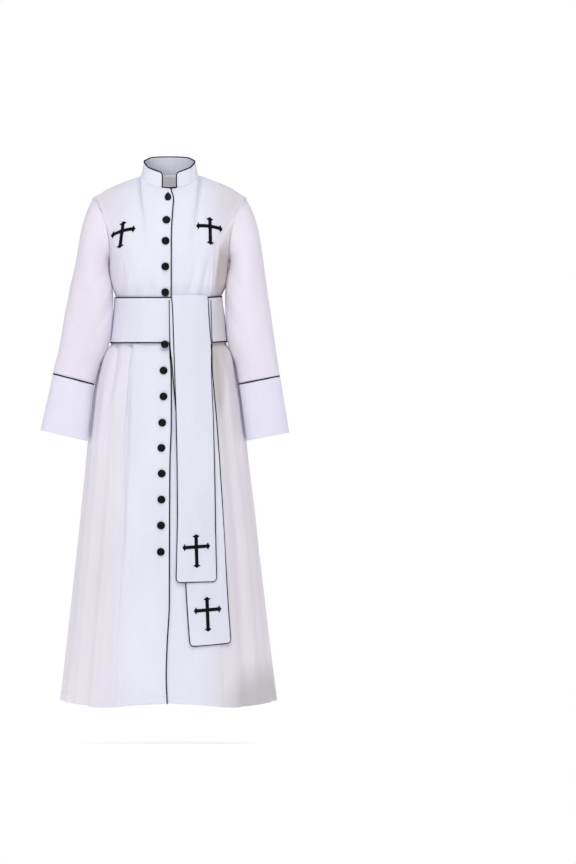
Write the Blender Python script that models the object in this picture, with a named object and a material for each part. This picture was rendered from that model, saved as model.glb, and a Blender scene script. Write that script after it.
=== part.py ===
"""A worn clergy robe with a stand collar, a button front, long cuffed sleeves, a wide belt and two falls.

Sizes are in millimetres up to the last step, which writes metres. +Z is up and the front faces -Y,
so +X is the wearer's left. The origin is the middle of the neck base, between the shoulders.
Every cloth piece is a wall: an outer grid of points, and an inner one a wall's thickness inside it.
"""

import math

import bpy
import numpy as np
from mathutils import Vector
from mathutils.bvhtree import BVHTree
from mathutils.kdtree import KDTree

MM = 0.001
RIGHT, LEFT = -1, 1

# Cloth thicknesses and gaps
WALL = 2.0
SLEEVE_WALL = 1.8
CUFF_WALL = 2.2
COLLAR_WALL = 2.4
BELT_WALL = 2.6
FALL_WALL = 1.8
SEAM_PULL = 0.18
SEAM_SINK = 0.08
GAP = 0.3
SAME_POINT = 0.01

# The body wall, from the hem to the chest. Below the chest it is a stack of rings.
# Each row: height, half width on the wearer's right, on the left, front depth, back depth, middle y
SECTIONS = [
    (-1380, 286, 280, 216, 236, 10),
    (-1130, 258, 251, 193, 208, 12),
    (-892, 232, 225, 168, 182, 14),
    (-689, 212, 199, 146, 158, 17),
    (-629, 206, 189, 139, 150, 18),
    (-569, 200, 184, 132, 142, 18),
    (-524, 191, 177, 126, 134, 18),
    (-490, 181, 171, 121, 127, 18),
    (-458, 166, 160, 114, 116, 17),
    (-438, 149.5, 146, 108, 103, 15),
    (-375, 142.5, 139, 104, 93, 12),
    (-318, 137.5, 132, 104, 92, 10),
    (-302, 142, 138, 104.5, 93, 9),
    (-282, 149, 145.5, 111, 99.5, 8),
    (-250, 153.5, 149, 116, 102, 5),
]
SQUARENESS = 2.2
CHEST, WAIST, HEM = -250.0, -438.0, -1371.0
# The seam between the bodice and the skirt lies under the belt
WAIST_SEAM = -422
# Each side panel of the skirt is a lower and an upper solid, which meet at this height
SKIRT_JOIN = -1000
SKIRT_ROWS = [-1371, -1190, SKIRT_JOIN, -820, -670, -560, -495, -458, -438, WAIST_SEAM]
BODICE_ROWS = [WAIST_SEAM, -370, -318, -302, -282, -250]
UPPER_ROWS = 5

# How far the hem drops below or stays above its usual height, by angle from the front
HEM_DROP = [(0, 2), (22, -3), (43, -9), (70, 3), (90, 8), (110, 4), (150, -7), (180, 0)]

# Soft folds of the skirt, hollows that open towards the hem: angle, half width, depth at the hem
FOLDS = [
    (52, 9, 20),
    (-57, 8, 13),
    (-38, 5, 5),
    (79, 7, 9),
    (-80, 7, 10),
    (180, 7, 13),
    (135, 9, 16),
    (-133, 9, 17),
    (106, 7, 9),
    (-107, 7, 8),
    (150, 5, 5),
    (-150, 5, 5),
]

# The long seams from the armholes to the hem: height, distance from the middle
FRONT_SEAM = [(-1371, 143), (-1147, 132), (-892, 122), (-700, 117), (-591, 111), (-496, 104), (-437, 98),
              (-375, 101), (-309, 108), (-250, 117)]
BACK_SEAM = [(-1371, 142), (-1161, 127), (-894, 114), (-639, 106), (-520, 100), (-438, 90), (-375, 88),
             (-315, 88), (-250, 103)]

# The front edge of the wearer's right front, which laps over the left: height, x
FRONT_EDGE = [(-1371, -6.5), (-1300, -9), (-1225, -7), (-1109, -1), (-892, -0.5), (-744, 0.5), (-640, 3.9),
              (-515, 3.4), (-438, -0.5), (-296, 3.4), (-156, 3.9), (-88, 7.3), (-60, 9.5), (-34, 2.3)]
LAP_WIDTH = 33.0
LAP_EASE = (5.0, 24.0)
FRONT_EDGE_TOP = -34
LAP_SINK = WALL + 0.45

# The top edges of the body
NECK_HALF_WIDTH, NECK_HALF_DEPTH, NECK_MIDDLE = 77.0, 60.0, -2.0
NECK_HEIGHT = [(0, -31), (30, -27), (60, -15), (97, -6), (140, -3), (180, -2)]
NECK_POINT_ANGLE = 96.7
NECK_LEAN = 0.6
SHOULDER_TIP = np.array([197.0, 12.0, -55.0])
UNDERARM = np.array([154.0, 5.0, -215.0])
ARMHOLE_REACH = 58.0
ARMHOLE_CURVE = 2.1
NECK_COLUMNS, SHOULDER_COLUMNS, ARMHOLE_COLUMNS, SIDE_COLUMNS = 3, 3, 4, 8
BACK_NECK_COLUMNS = 4

# The sleeves: height of a ring's middle, its x from the robe's middle, y, half width, half depth, tilt
SLEEVES = {
    LEFT: [(-262, 199.5, 0, 50, 61, 10), (-310, 200.5, -3, 55.5, 58, 8), (-370, 206.5, -8, 58, 52, 7),
           (-430, 214.5, -12, 58, 47, 8), (-480, 226, -15, 54.5, 43, 10),
           (-530.5, 233.5, -18, 54.7, 40, 11.4), (-677.5, 255.5, -24, 56.5, 42, 10.7)],
    RIGHT: [(-262, 203, 0, 48, 61, 10), (-310, 204, -3, 58, 58, 8), (-370, 212, -8, 61.5, 52, 8),
            (-430, 222.5, -12, 60.5, 47, 10), (-480, 237, -15, 56, 43, 12.5),
            (-528, 249, -18, 55.8, 40, 14.5), (-675, 273.5, -24, 62.5, 42, 12.8)],
}
SLEEVE_RINGS = [-262, -300, -345, -395, -440, -485]
SLEEVE_HEAD_ROWS = 4
# The axis that a sleeve's cloth faces away from leans in above its first ring
SLEEVE_AXIS_LEAN, SLEEVE_AXIS_TOP = 0.15, -120.0
BODY_AXIS_Y, SHOULDER_AXIS_DROP = 5.0, 60.0
CUFF_ROWS = 3

# Collar: angle round the neck, height of the top edge
COLLAR_TOP = [(17, 6.5), (35, 14), (55, 21), (73, 31), (90, 36.5), (113, 41), (136, 47), (159, 48.6),
              (180, 49)]
COLLAR_TOP_HALF_WIDTH, COLLAR_TOP_HALF_DEPTH = 67.0, 53.0
NOTCH_HALF_WIDTH = 20.0
COLLAR_COLUMNS, COLLAR_ROWS = 30, 3
COLLAR_CORNER = 2.5
COLLAR_BOW = 1.2
COLLAR_GAP = 0.4
NOTCH_PIPING_X = (-8.0, 6.0)
# How far the piping's corner lies in and up, as shares of its lift, and where it runs straight
NOTCH_CORNER, NOTCH_CORNER_DROP = (0.55, 0.62), 0.3
NOTCH_FOOT_RISE = 0.4
COLLAR_PIPING_LIFT = 2.2

# Belt and its two falls
BELT_TOP, BELT_BOTTOM = -318.0, -432.0
BELT_LIFT = 3.5
BELT_RISE = 3.0
BELT_COLUMNS = 48
# Each row: height, middle x, half width
FRONT_FALL = [(-312, 52.1, 45.3), (-345, 54, 44.8), (-400, 56.3, 45.3), (-560, 61.8, 45.3),
              (-629, 64.5, 45.7), (-892, 69.3, 47.2), (-1054.5, 69.3, 50.5)]
UNDER_FALL = [(-330, 57, 44), (-500, 62, 46), (-645, 71, 50), (-892, 86, 51.5), (-1110, 98.5, 51.5),
              (-1217, 106, 51.5)]
# How far a fall's foot climbs towards the wearer's left, as a slope
FRONT_FALL_SLANT, UNDER_FALL_SLANT = 0.03, 0.085
FALL_CORNER, FALL_CORNER_CUT = 9.0, 0.35
FALL_PIPING_RISE, FALL_LAST_STEP = 8.0, 30.0
# Height of a fall's inner face above the skirt, at the belt and below it
FRONT_FALL_LIFT, UNDER_FALL_LIFT = (9.6, 5.2), (7.0, 2.2)
FALL_SETTLE_START, FALL_SETTLE_REACH = BELT_BOTTOM - 6, 90.0
FALL_TAIL_LIFT, FALL_TAIL_FOOT, FALL_TAIL_TOP, FALL_TAIL_IN = 0.62, -352.0, -315.0, 3.5
FALL_FOLD = [(0.2, 4.4), (0.8, 4.6)]
FALL_COLUMNS = 8
FALL_ROWS = [-330, -380, -428, -450, -480, -530, -600, -700, -820, -940, -1060, -1160]

# Piping, buttons and crosses
PIPING = 1.7
FALL_PIPING = 1.3
CUFF_PIPING = 1.5
FRONT_PIPING_SINK, FRONT_PIPING_SHORT = 0.3, 0.3
BUTTON_RADIUS, BUTTON_HEIGHT = 10.0, 4.2
BUTTON_SIDES, BUTTON_PROBE = 10, 0.6
BUTTON_GAP = 0.4
BUTTON_HEIGHTS = [-56, -115, -169.5, -236, -303, -440.5, -506, -573.5, -641.5, -707, -773.5, -841,
                  -908, -976.5]
BUTTON_SETBACK = [(-1371, 21), (-976, 21), (-773, 19.5), (-707, 22), (-641, 22), (-573, 18.5), (-506, 18),
                  (-440, 11), (-303, 14), (-56, 12.8)]
# Share of a button's radius, height over its base
BUTTON_PROFILE = [(0.88, 0.0), (1.0, 1.6), (0.78, BUTTON_HEIGHT)]
CUFF_BUTTON_STATIONS = [0.19, 0.50, 0.80]
CUFF_BUTTON_ANGLE = -53.0
CROSS_THICKNESS = 1.0
CROSS_BAR = 4.4
CROSS_STATIONS = (0.4, 0.7)
CROSS_GAP, CHEST_CROSS_GAP = 0.45, 1.45
# The barbed point of an arm: distance from its tip, half width
CROSS_POINT = [(8.4, 4.4), (5.0, 9.2), (2.6, 4.0)]
# Each row: middle x, height of the crossing, reach up, down, to the right, to the left,
# lean of the upright, slope of the bar, sag of the bar
CROSSES = {
    "cross_chest_right": (-122.7, -143.8, 25.5, 44.5, 29, 35, 0.13, 0.27, 0.0020),
    "cross_chest_left": (105.6, -131.6, 24, 48, 36, 32, -0.025, -0.12, 0.0026),
    "cross_fall_front": (70.5, -963.5, 33, 54.5, 36, 35.5, -0.03, 0.07, 0.0),
    "cross_fall_under": (99, -1127, 34, 56, 35, 36, -0.04, 0.083, 0.0),
}

WHITE = (0.82, 0.81, 0.87)
BAND_WHITE = (0.80, 0.83, 0.88)
BLACK = (0.012, 0.012, 0.014)


class Curve:
    """A smooth line through pairs of (place, value) that never overshoots them."""

    def __init__(self, pairs):
        pairs = sorted(pairs)
        self.place = np.array([pair[0] for pair in pairs], float)
        self.value = np.array([pair[1] for pair in pairs], float)
        rise = np.diff(self.value) / np.diff(self.place)
        self.slope = np.zeros(len(pairs))
        self.slope[0], self.slope[-1] = rise[0], rise[-1]
        for i in range(1, len(rise)):
            if rise[i - 1] * rise[i] > 0:
                self.slope[i] = 2 * rise[i - 1] * rise[i] / (rise[i - 1] + rise[i])

    def __call__(self, place):
        i = min(max(int(np.searchsorted(self.place, place)) - 1, 0), len(self.place) - 2)
        span = self.place[i + 1] - self.place[i]
        t = min(max((place - self.place[i]) / span, 0.0), 1.0)
        return hermite(self.value[i], self.value[i + 1], self.slope[i] * span, self.slope[i + 1] * span, t)


def hermite(start, end, start_slope, end_slope, t):
    return (start * (1 + 2 * t) * (1 - t) ** 2 + end * t * t * (3 - 2 * t)
            + start_slope * t * (1 - t) ** 2 + end_slope * t * t * (t - 1))


def ease(t):
    t = min(max(t, 0.0), 1.0)
    return t * t * (3 - 2 * t)


def unit(vector):
    return vector / max(np.linalg.norm(vector), 1e-9)


def column_curve(table, column):
    return Curve([(row[0], row[column]) for row in table])


half_width = {RIGHT: column_curve(SECTIONS, 1), LEFT: column_curve(SECTIONS, 2)}
front_depth = column_curve(SECTIONS, 3)
back_depth = column_curve(SECTIONS, 4)
middle_y = column_curve(SECTIONS, 5)
hem_drop = Curve(HEM_DROP)
front_seam = Curve(FRONT_SEAM)
back_seam = Curve(BACK_SEAM)
front_edge = Curve(FRONT_EDGE)
neck_height = Curve(NECK_HEIGHT)
collar_top = Curve(COLLAR_TOP)
button_setback = Curve(BUTTON_SETBACK)


# The body wall below the chest


def ring_sizes(right_or_left, back, z):
    """Half width, and depth from the ring's middle to the front or back."""
    depth = back_depth(z) - middle_y(z) if back else front_depth(z) + middle_y(z)
    return half_width[right_or_left](z), depth


def fold_depth(angle, z):
    """How far the folds of the skirt draw the wall in."""
    grow = ease((WAIST - z) / 70) * (0.35 + 0.65 * (WAIST - z) / (WAIST - HEM))
    depth = 0.0
    for middle, spread, full in FOLDS:
        away = abs((angle - middle + 180) % 360 - 180) / spread
        if away < 1:
            depth += full * 0.5 * (1 + math.cos(math.pi * away))
    return depth * grow


def ring_point(angle, z):
    """A point of the body wall: angle in degrees from the front, positive to the wearer's left."""
    s, c = math.sin(math.radians(angle)), math.cos(math.radians(angle))
    width, depth = ring_sizes(LEFT if s > 0 else RIGHT, c < 0, z)
    radius = ((abs(s) / width) ** SQUARENESS + (abs(c) / depth) ** SQUARENESS) ** (-1 / SQUARENESS)
    radius -= fold_depth(angle, z)
    share = max((WAIST - z) / (WAIST - HEM), 0.0)
    return np.array([radius * s, middle_y(z) - radius * c, z + hem_drop(abs(angle)) * share ** 2])


def angle_of(x, z, back=False):
    """The angle at which the ring at this height has this x."""
    width, depth = ring_sizes(LEFT if x > 0 else RIGHT, back, z)
    share = min(abs(x) / width, 0.999)
    y = depth * (1 - share ** SQUARENESS) ** (1 / SQUARENESS)
    angle = math.degrees(math.atan2(abs(x), -y if back else y))
    return math.copysign(angle, x)


# The body wall above the chest: columns that rise to the neck, the shoulders and the armholes


def neck_point(angle):
    a = math.radians(angle)
    return np.array([NECK_HALF_WIDTH * math.sin(a), NECK_MIDDLE - NECK_HALF_DEPTH * math.cos(a),
                     neck_height(abs(angle))])


def armhole_point(side, turn, back=False):
    """A point of the armhole: turn 0 at the shoulder tip, 90 half way down, 180 at the underarm."""
    down = (1 - math.cos(math.radians(turn))) / 2
    z = SHOULDER_TIP[2] + (UNDERARM[2] - SHOULDER_TIP[2]) * down
    x = UNDERARM[0] + (SHOULDER_TIP[0] - UNDERARM[0]) * (1 - down) ** ARMHOLE_CURVE
    reach = ARMHOLE_REACH * math.sin(math.radians(turn))
    y = SHOULDER_TIP[1] + (UNDERARM[1] - SHOULDER_TIP[1]) * down + (reach if back else -reach)
    return np.array([side * x, y, z])


def top_edge(side, u, back, neck_start):
    """The top edge of a centre panel at share u of its columns: the point, and the way the cloth meets it."""
    facing = -1.0 if back else 1.0
    neck = BACK_NECK_COLUMNS if back else NECK_COLUMNS
    total = neck + SHOULDER_COLUMNS + ARMHOLE_COLUMNS
    at = u * total
    over = unit(np.array([0.0, facing * 0.9, 0.45]))
    if at <= neck:
        t = at / neck
        angle = neck_start + (side * NECK_POINT_ANGLE - neck_start) * t
        rise = unit(np.array([0.0, facing * NECK_LEAN, 0.8]))
        return neck_point(angle), unit(rise * (1 - t) + over * t), 0.0
    if at <= neck + SHOULDER_COLUMNS:
        t = (at - neck) / SHOULDER_COLUMNS
        start = neck_point(side * NECK_POINT_ANGLE)
        tip = SHOULDER_TIP * np.array([side, 1, 1])
        return start + (tip - start) * t, over, 0.55 * t * t
    t = (at - neck - SHOULDER_COLUMNS) / ARMHOLE_COLUMNS
    return armhole_point(side, 90 * t, back), over, min(0.55 + 1.2 * t, 1.0)


def side_top(side, u, back):
    """The top edge of a side panel: the armhole from half way down to the underarm."""
    return armhole_point(side, 90 + 90 * u, back), np.zeros(3), 1.0


def rise_from_chest(angle, top, way, straight, t):
    """Up from the chest to the top edge, which it meets along a way of its own, or straight on."""
    start = ring_point(angle, CHEST)
    below = ring_point(angle, CHEST - 40)
    length = np.linalg.norm(top - start)
    tangent = unit(way * (1 - straight) + (top - start) / length * straight)
    return hermite(start, top, unit(start - below) * length, tangent * length * 0.9, t)


def column(angle_at, top_way, lower_rows, upper_rows):
    """One column of the wall, from the hem to the top edge."""
    points = [ring_point(angle_at(z), z) for z in lower_rows]
    for k in range(1, upper_rows + 1):
        points.append(rise_from_chest(angle_at(CHEST), *top_way, k / upper_rows))
    return points


def edge_column(offset, sink, lower_rows, upper_rows):
    """A column at a fixed distance from the front edge, sunk where it laps under the other front."""
    def angle_at(z):
        return angle_of(front_edge(z) + offset, z)

    x_top = front_edge(FRONT_EDGE_TOP) + offset
    neck_angle = math.degrees(math.asin(x_top / NECK_HALF_WIDTH))
    top_way = (neck_point(neck_angle), unit(np.array([0.0, NECK_LEAN, 0.8])), 0.0)
    points = column(angle_at, top_way, lower_rows, upper_rows)
    moved = []
    for point in points:
        if point[2] > CHEST:
            point = np.array([front_edge(point[2]) + offset, point[1], point[2]])
        moved.append(point)
    outward = column_outward(moved)
    return [point - normal * sink for point, normal in zip(moved, outward)]


def column_outward(points):
    """Outward normals of a column near the front middle, taken along its own line."""
    normals = []
    for k, point in enumerate(points):
        along = unit(points[min(k + 1, len(points) - 1)] - points[max(k - 1, 0)])
        across = unit(np.array([1.0, 0.25 * point[0] / 100, 0.0]))
        normals.append(unit(np.cross(across, along)))
    return normals


def fronts(side, lower_rows, upper_rows):
    """The columns of a centre front, from its edge to the long seam."""
    if side == RIGHT:
        offsets = [(0.0, 0.0), (-LAP_WIDTH / 2, 0.0), (-LAP_WIDTH, 0.0)]
    else:
        offsets = [(-LAP_WIDTH, LAP_SINK), (-LAP_WIDTH / 2, LAP_SINK), (0.0, LAP_SINK),
                   (LAP_EASE[0], LAP_SINK), (LAP_EASE[1], 0.0)]
    columns = [edge_column(offset, sink, lower_rows, upper_rows) for offset, sink in offsets]
    start = offsets[-1][0]
    neck_start = math.degrees(math.asin((front_edge(FRONT_EDGE_TOP) + start) / NECK_HALF_WIDTH))
    count = NECK_COLUMNS + SHOULDER_COLUMNS + ARMHOLE_COLUMNS
    for k in range(1, count + 1):
        u = k / count

        def angle_at(z, u=u):
            first = angle_of(front_edge(z) + start, z)
            return first + u * (angle_of(side * front_seam(z), z) - first)

        columns.append(column(angle_at, top_edge(side, u, False, neck_start), lower_rows, upper_rows))
    return columns


def centre_back(side, lower_rows, upper_rows):
    columns = []
    count = BACK_NECK_COLUMNS + SHOULDER_COLUMNS + ARMHOLE_COLUMNS
    for k in range(count + 1):
        u = k / count

        def angle_at(z, u=u):
            last = angle_of(side * back_seam(z), z, True)
            return side * 180 + u * (last - side * 180)

        columns.append(column(angle_at, top_edge(side, u, True, side * 180.0), lower_rows, upper_rows))
    return columns


def side_panel(side, back, lower_rows, upper_rows):
    """The columns of a side panel, from its long seam to the side seam under the arm."""
    columns = []
    for k in range(SIDE_COLUMNS + 1):
        u = k / SIDE_COLUMNS

        def angle_at(z, u=u):
            seam = back_seam(z) if back else front_seam(z)
            first = angle_of(side * seam, z, back)
            return first + u * (side * 90 - first)

        columns.append(column(angle_at, side_top(side, u, back), lower_rows, upper_rows))
    return columns


# Sleeves and cuffs


def armhole_turns():
    """Angles round the sleeve, from the shoulder over the front to the underarm and back up."""
    upper = [90 * k / ARMHOLE_COLUMNS for k in range(ARMHOLE_COLUMNS)]
    lower = [90 + 90 * k / SIDE_COLUMNS for k in range(SIDE_COLUMNS + 1)]
    half = upper + lower
    return half + [360 - turn for turn in reversed(half[1:-1])]


def sleeve_point(side, turn, z, along=0.0):
    """A point of a sleeve's ring: turn 0 is its outer side, 90 the front, 180 the inner side."""
    table = SLEEVES[side]
    x, y, width, depth, tilt = (column_curve(table, k)(z) for k in range(1, 6))
    lean = math.radians(tilt)
    a = math.radians(turn)
    across = np.array([math.cos(lean), 0.0, math.sin(lean)])
    down = np.array([math.sin(lean), 0.0, -math.cos(lean)])
    point = np.array([x, y, z]) + width * math.cos(a) * across + down * along
    point[1] -= depth * math.sin(a)
    return point * np.array([side, 1, 1])


def sleeve_head(side, turn, t):
    """From the armhole, t 0, to the first full ring, t 1."""
    back = turn > 180
    top = armhole_point(side, 360 - turn if back else turn, back)
    end = sleeve_point(side, turn, SLEEVE_RINGS[0])
    below = sleeve_point(side, turn, SLEEVE_RINGS[1])
    length = np.linalg.norm(end - top)
    middle = math.sin(math.radians(min(turn, 360 - turn)))
    start_way = unit(np.array([side * (0.50 + 0.30 * middle), 0.0, -0.85 + 0.2 * middle]))
    return hermite(top, end, start_way * length, unit(below - end) * length, t)


def sleeve_rows(side):
    """The sleeve's rings, from the armhole to the cuff seam."""
    turns = armhole_turns()
    rows = [[sleeve_head(side, turn, k / SLEEVE_HEAD_ROWS) for turn in turns] for k in range(SLEEVE_HEAD_ROWS)]
    rows += [[sleeve_point(side, turn, z) for turn in turns] for z in SLEEVE_RINGS]
    cuff_top = SLEEVES[side][-2][0]
    rows.append([sleeve_point(side, turn, cuff_top, -CUFF_PIPING - GAP) for turn in turns])
    return rows


def cuff_point(side, turn, share):
    """A point of a cuff's outer face, share 0 at its top edge and 1 at its open end."""
    top, bottom = SLEEVES[side][-2][0], SLEEVES[side][-1][0]
    z = top + (bottom - top) * share
    along = (CUFF_PIPING + GAP) * (1 - share)
    return sleeve_point(side, turn, z, along)


def cuff_rows(side):
    return [[cuff_point(side, turn, k / CUFF_ROWS) for turn in armhole_turns()] for k in range(CUFF_ROWS + 1)]


# Walls


def grid_normals(rows, closed):
    """Outward or inward normal at each point of a grid, by the order of its rows and columns."""
    grid = np.array(rows)
    count = grid.shape[1]
    normals = np.zeros_like(grid)
    spans = count if closed else count - 1
    for r in range(grid.shape[0] - 1):
        for c in range(spans):
            d = (c + 1) % count
            corners = [(r, c), (r, d), (r + 1, d), (r + 1, c)]
            face = np.cross(grid[r + 1, d] - grid[r, c], grid[r + 1, c] - grid[r, d])
            for corner in corners:
                normals[corner] += face
    return normals


def facing_out(grid, normals, axis_of):
    """Turns the normals of a whole grid outward, away from the axis of what the grid wraps."""
    away = grid - np.array([[axis_of(point) for point in row] for row in grid])
    return normals if (away * normals).sum() > 0 else -normals


def shared_normals(grids, closed_names, axes):
    """Unit normals at every point, the same for all pieces that meet there."""
    points, summed, shapes = [], [], {}
    for name, rows in grids.items():
        grid = np.array(rows)
        normals = facing_out(grid, grid_normals(rows, name in closed_names), axes[name])
        shapes[name] = (len(points), grid.shape)
        points += list(grid.reshape(-1, 3))
        summed += list(normals.reshape(-1, 3))
    tree = KDTree(len(points))
    for k, point in enumerate(points):
        tree.insert(Vector(point), k)
    tree.balance()
    result = {}
    for name, (start, shape) in shapes.items():
        flat = []
        for k in range(start, start + shape[0] * shape[1]):
            near = tree.find_range(Vector(points[k]), SAME_POINT)
            flat.append(unit(sum(summed[other] for _, other, _ in near)))
        result[name] = np.array(flat).reshape(shape)
    return result


def wall_layers(rows, normals, thickness, closed, free_sides=()):
    """Outer and inner grids of a wall, drawn back a little at its seams."""
    outer = np.array(rows, float)
    inner = outer - normals * thickness
    last_row, last_column = outer.shape[0] - 1, outer.shape[1] - 1
    pull = np.zeros_like(outer)
    for r in range(outer.shape[0]):
        for c in range(outer.shape[1]):
            r_in = 1 if r == 0 and "first_row" not in free_sides else r
            r_in = last_row - 1 if r == last_row and "last_row" not in free_sides else r_in
            c_in = c
            if not closed:
                c_in = 1 if c == 0 and "first_column" not in free_sides else c
                c_in = last_column - 1 if c == last_column and "last_column" not in free_sides else c_in
            if (r_in, c_in) != (r, c):
                way = np.zeros(3)
                if r_in != r:
                    way += unit(outer[r_in, c] - outer[r, c])
                if c_in != c:
                    way += unit(outer[r, c_in] - outer[r, c])
                pull[r, c] = way * SEAM_PULL - normals[r, c] * SEAM_SINK
    return outer + pull, inner + pull


def solid_from_layers(outer, inner, closed):
    """Points and faces of the closed body between two grids."""
    row_count, count = outer.shape[0], outer.shape[1]
    size = row_count * count
    points = np.concatenate([outer.reshape(-1, 3), inner.reshape(-1, 3)])

    def at(layer, r, c):
        return layer * size + r * count + c % count

    faces = []
    spans = count if closed else count - 1
    for r in range(row_count - 1):
        for c in range(spans):
            faces.append((at(0, r, c), at(0, r, c + 1), at(0, r + 1, c + 1), at(0, r + 1, c)))
            faces.append((at(1, r, c), at(1, r + 1, c), at(1, r + 1, c + 1), at(1, r, c + 1)))
    for c in range(spans):
        last = row_count - 1
        faces.append((at(0, 0, c + 1), at(0, 0, c), at(1, 0, c), at(1, 0, c + 1)))
        faces.append((at(0, last, c), at(0, last, c + 1), at(1, last, c + 1), at(1, last, c)))
    if not closed:
        for r in range(row_count - 1):
            last = count - 1
            faces.append((at(0, r, 0), at(0, r + 1, 0), at(1, r + 1, 0), at(1, r, 0)))
            faces.append((at(0, r + 1, last), at(0, r, last), at(1, r, last), at(1, r + 1, last)))
    return points, faces


def signed_volume(points, faces):
    total = 0.0
    for face in faces:
        for k in range(1, len(face) - 1):
            total += np.dot(points[face[0]], np.cross(points[face[k]], points[face[k + 1]]))
    return total


def split_faces(points, faces):
    """Every face as triangles. A quad is cut along its shorter diagonal, on both sides of a seam alike."""
    triangles = []
    for face in faces:
        if len(face) == 4:
            a, b, c, d = face
            if np.linalg.norm(points[a] - points[c]) > np.linalg.norm(points[b] - points[d]):
                face = (b, c, d, a)
        for k in range(1, len(face) - 1):
            triangles.append((face[0], face[k], face[k + 1]))
    return triangles


def add_object(name, points, faces, material):
    points = np.array(points, float)
    if signed_volume(points, faces) < 0:
        faces = [tuple(reversed(face)) for face in faces]
    mesh = bpy.data.meshes.new(name)
    mesh.from_pydata((points * MM).tolist(), [], split_faces(points, faces))
    mesh.update()
    mesh.shade_smooth()
    mesh.set_sharp_from_angle(angle=math.radians(50))
    mesh.materials.append(material)
    piece = bpy.data.objects.new(name, mesh)
    bpy.context.collection.objects.link(piece)
    return piece


def add_wall(name, rows, normals, thickness, material, closed=False, free_sides=()):
    outer, inner = wall_layers(rows, normals, thickness, closed, free_sides)
    points, faces = solid_from_layers(outer, inner, closed)
    add_object(name, points, faces, material)
    return outer


def tube(path, radius, closed, sides=5):
    """Points and faces of a round tube along a path."""
    path = np.array(path, float)
    count = len(path)
    along = []
    for k in range(count):
        before = path[k - 1] if closed or k > 0 else path[k]
        after = path[(k + 1) % count] if closed or k < count - 1 else path[k]
        along.append(unit(after - before))
    side_way = unit(np.cross(along[0], np.array([0.31, 0.83, 0.46])))
    frames = []
    for direction in along:
        side_way = unit(side_way - direction * np.dot(side_way, direction))
        frames.append((side_way, np.cross(direction, side_way)))
    twist = 0.0
    if closed:
        carried = unit(frames[-1][0] - along[0] * np.dot(frames[-1][0], along[0]))
        twist = math.atan2(np.dot(carried, frames[0][1]), np.dot(carried, frames[0][0]))
    points = []
    for k in range(count):
        for s in range(sides):
            a = 2 * math.pi * s / sides - twist * k / count
            points.append(path[k] + radius * (math.cos(a) * frames[k][0] + math.sin(a) * frames[k][1]))
    faces = []
    for k in range(count if closed else count - 1):
        for s in range(sides):
            here, there = k * sides, ((k + 1) % count) * sides
            following = (s + 1) % sides
            faces.append((here + s, here + following, there + following, there + s))
    if not closed:
        faces.append(tuple(reversed(range(sides))))
        faces.append(tuple((count - 1) * sides + s for s in range(sides)))
    return points, faces


def add_tube(name, path, radius, material, closed=False):
    points, faces = tube(path, radius, closed)
    return add_object(name, points, faces, material)


# The pieces


def make_material(name, colour, roughness):
    material = bpy.data.materials.new(name)
    material.use_nodes = True
    shader = material.node_tree.nodes["Principled BSDF"]
    shader.inputs["Base Color"].default_value = (*colour, 1.0)
    shader.inputs["Roughness"].default_value = roughness
    shader.inputs["Metallic"].default_value = 0.0
    material.diffuse_color = (*colour, 1.0)
    return material


def body_axis(point):
    drop = SHOULDER_AXIS_DROP if point[2] > CHEST else 0.0
    return np.array([0.0, BODY_AXIS_Y, point[2] - drop])


def sleeve_axis(side):
    table = SLEEVES[side]
    x, y = column_curve(table, 1), column_curve(table, 2)

    def axis(point):
        z = min(point[2], SLEEVE_AXIS_TOP)
        lean = SLEEVE_AXIS_LEAN * max(z - SLEEVE_RINGS[0], 0)
        return np.array([side * (x(z) - lean), y(z), point[2]])

    return axis


def by_rows(columns):
    return [list(row) for row in zip(*columns)]


def make_body():
    """The eight panels of the bodice, the eight of the skirt and the two sleeves, with shared seams."""
    rows = SKIRT_ROWS + BODICE_ROWS[1:]
    join, waist = SKIRT_ROWS.index(SKIRT_JOIN), SKIRT_ROWS.index(WAIST_SEAM)
    names = {RIGHT: "right", LEFT: "left"}
    columns, pieces, grids, axes = {}, {}, {}, {}
    for side, word in names.items():
        columns[f"front_{word}_centre"] = fronts(side, rows, UPPER_ROWS)
        columns[f"front_{word}_side"] = side_panel(side, False, rows, UPPER_ROWS)
        columns[f"back_{word}_side"] = side_panel(side, True, rows, UPPER_ROWS)
        columns[f"back_{word}_centre"] = centre_back(side, rows, UPPER_ROWS)
    for panel, made in columns.items():
        whole = by_rows(made)
        cuts = {f"skirt_{panel}": (0, waist)}
        if panel.endswith("side"):
            cuts = {f"skirt_{panel}_lower": (0, join), f"skirt_{panel}_upper": (join, waist)}
        cuts[f"bodice_{panel}"] = (waist, len(whole) - 1)
        pieces[panel] = list(cuts)
        grids.update({name: whole[first:last + 1] for name, (first, last) in cuts.items()})
    for name in grids:
        axes[name] = body_axis
    sleeves = {f"sleeve_{word}": side for side, word in names.items()}
    for name, side in sleeves.items():
        grids[name] = sleeve_rows(side)
        axes[name] = sleeve_axis(side)
    normals = shared_normals(grids, set(sleeves), axes)
    outer = {}
    for name, grid in grids.items():
        cloth = make_material(f"cloth_{name}", WHITE, 0.55)
        if name in sleeves:
            add_wall(name, grid, normals[name], SLEEVE_WALL, cloth, True, ("last_row",))
            continue
        free = ("first_row",) if name.startswith("skirt") and not name.endswith("upper") else ()
        if "_front_" in name and name.endswith("centre"):
            free += ("first_column",)
        outer[name] = add_wall(name, grid, normals[name], WALL, cloth, False, free)
    walls = {}
    for panel, names_up in pieces.items():
        *below, top = names_up
        walls[panel] = (np.concatenate([outer[name][:-1] for name in below] + [outer[top]]),
                        np.concatenate([normals[name][:-1] for name in below] + [normals[top]]))
    return walls


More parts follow.
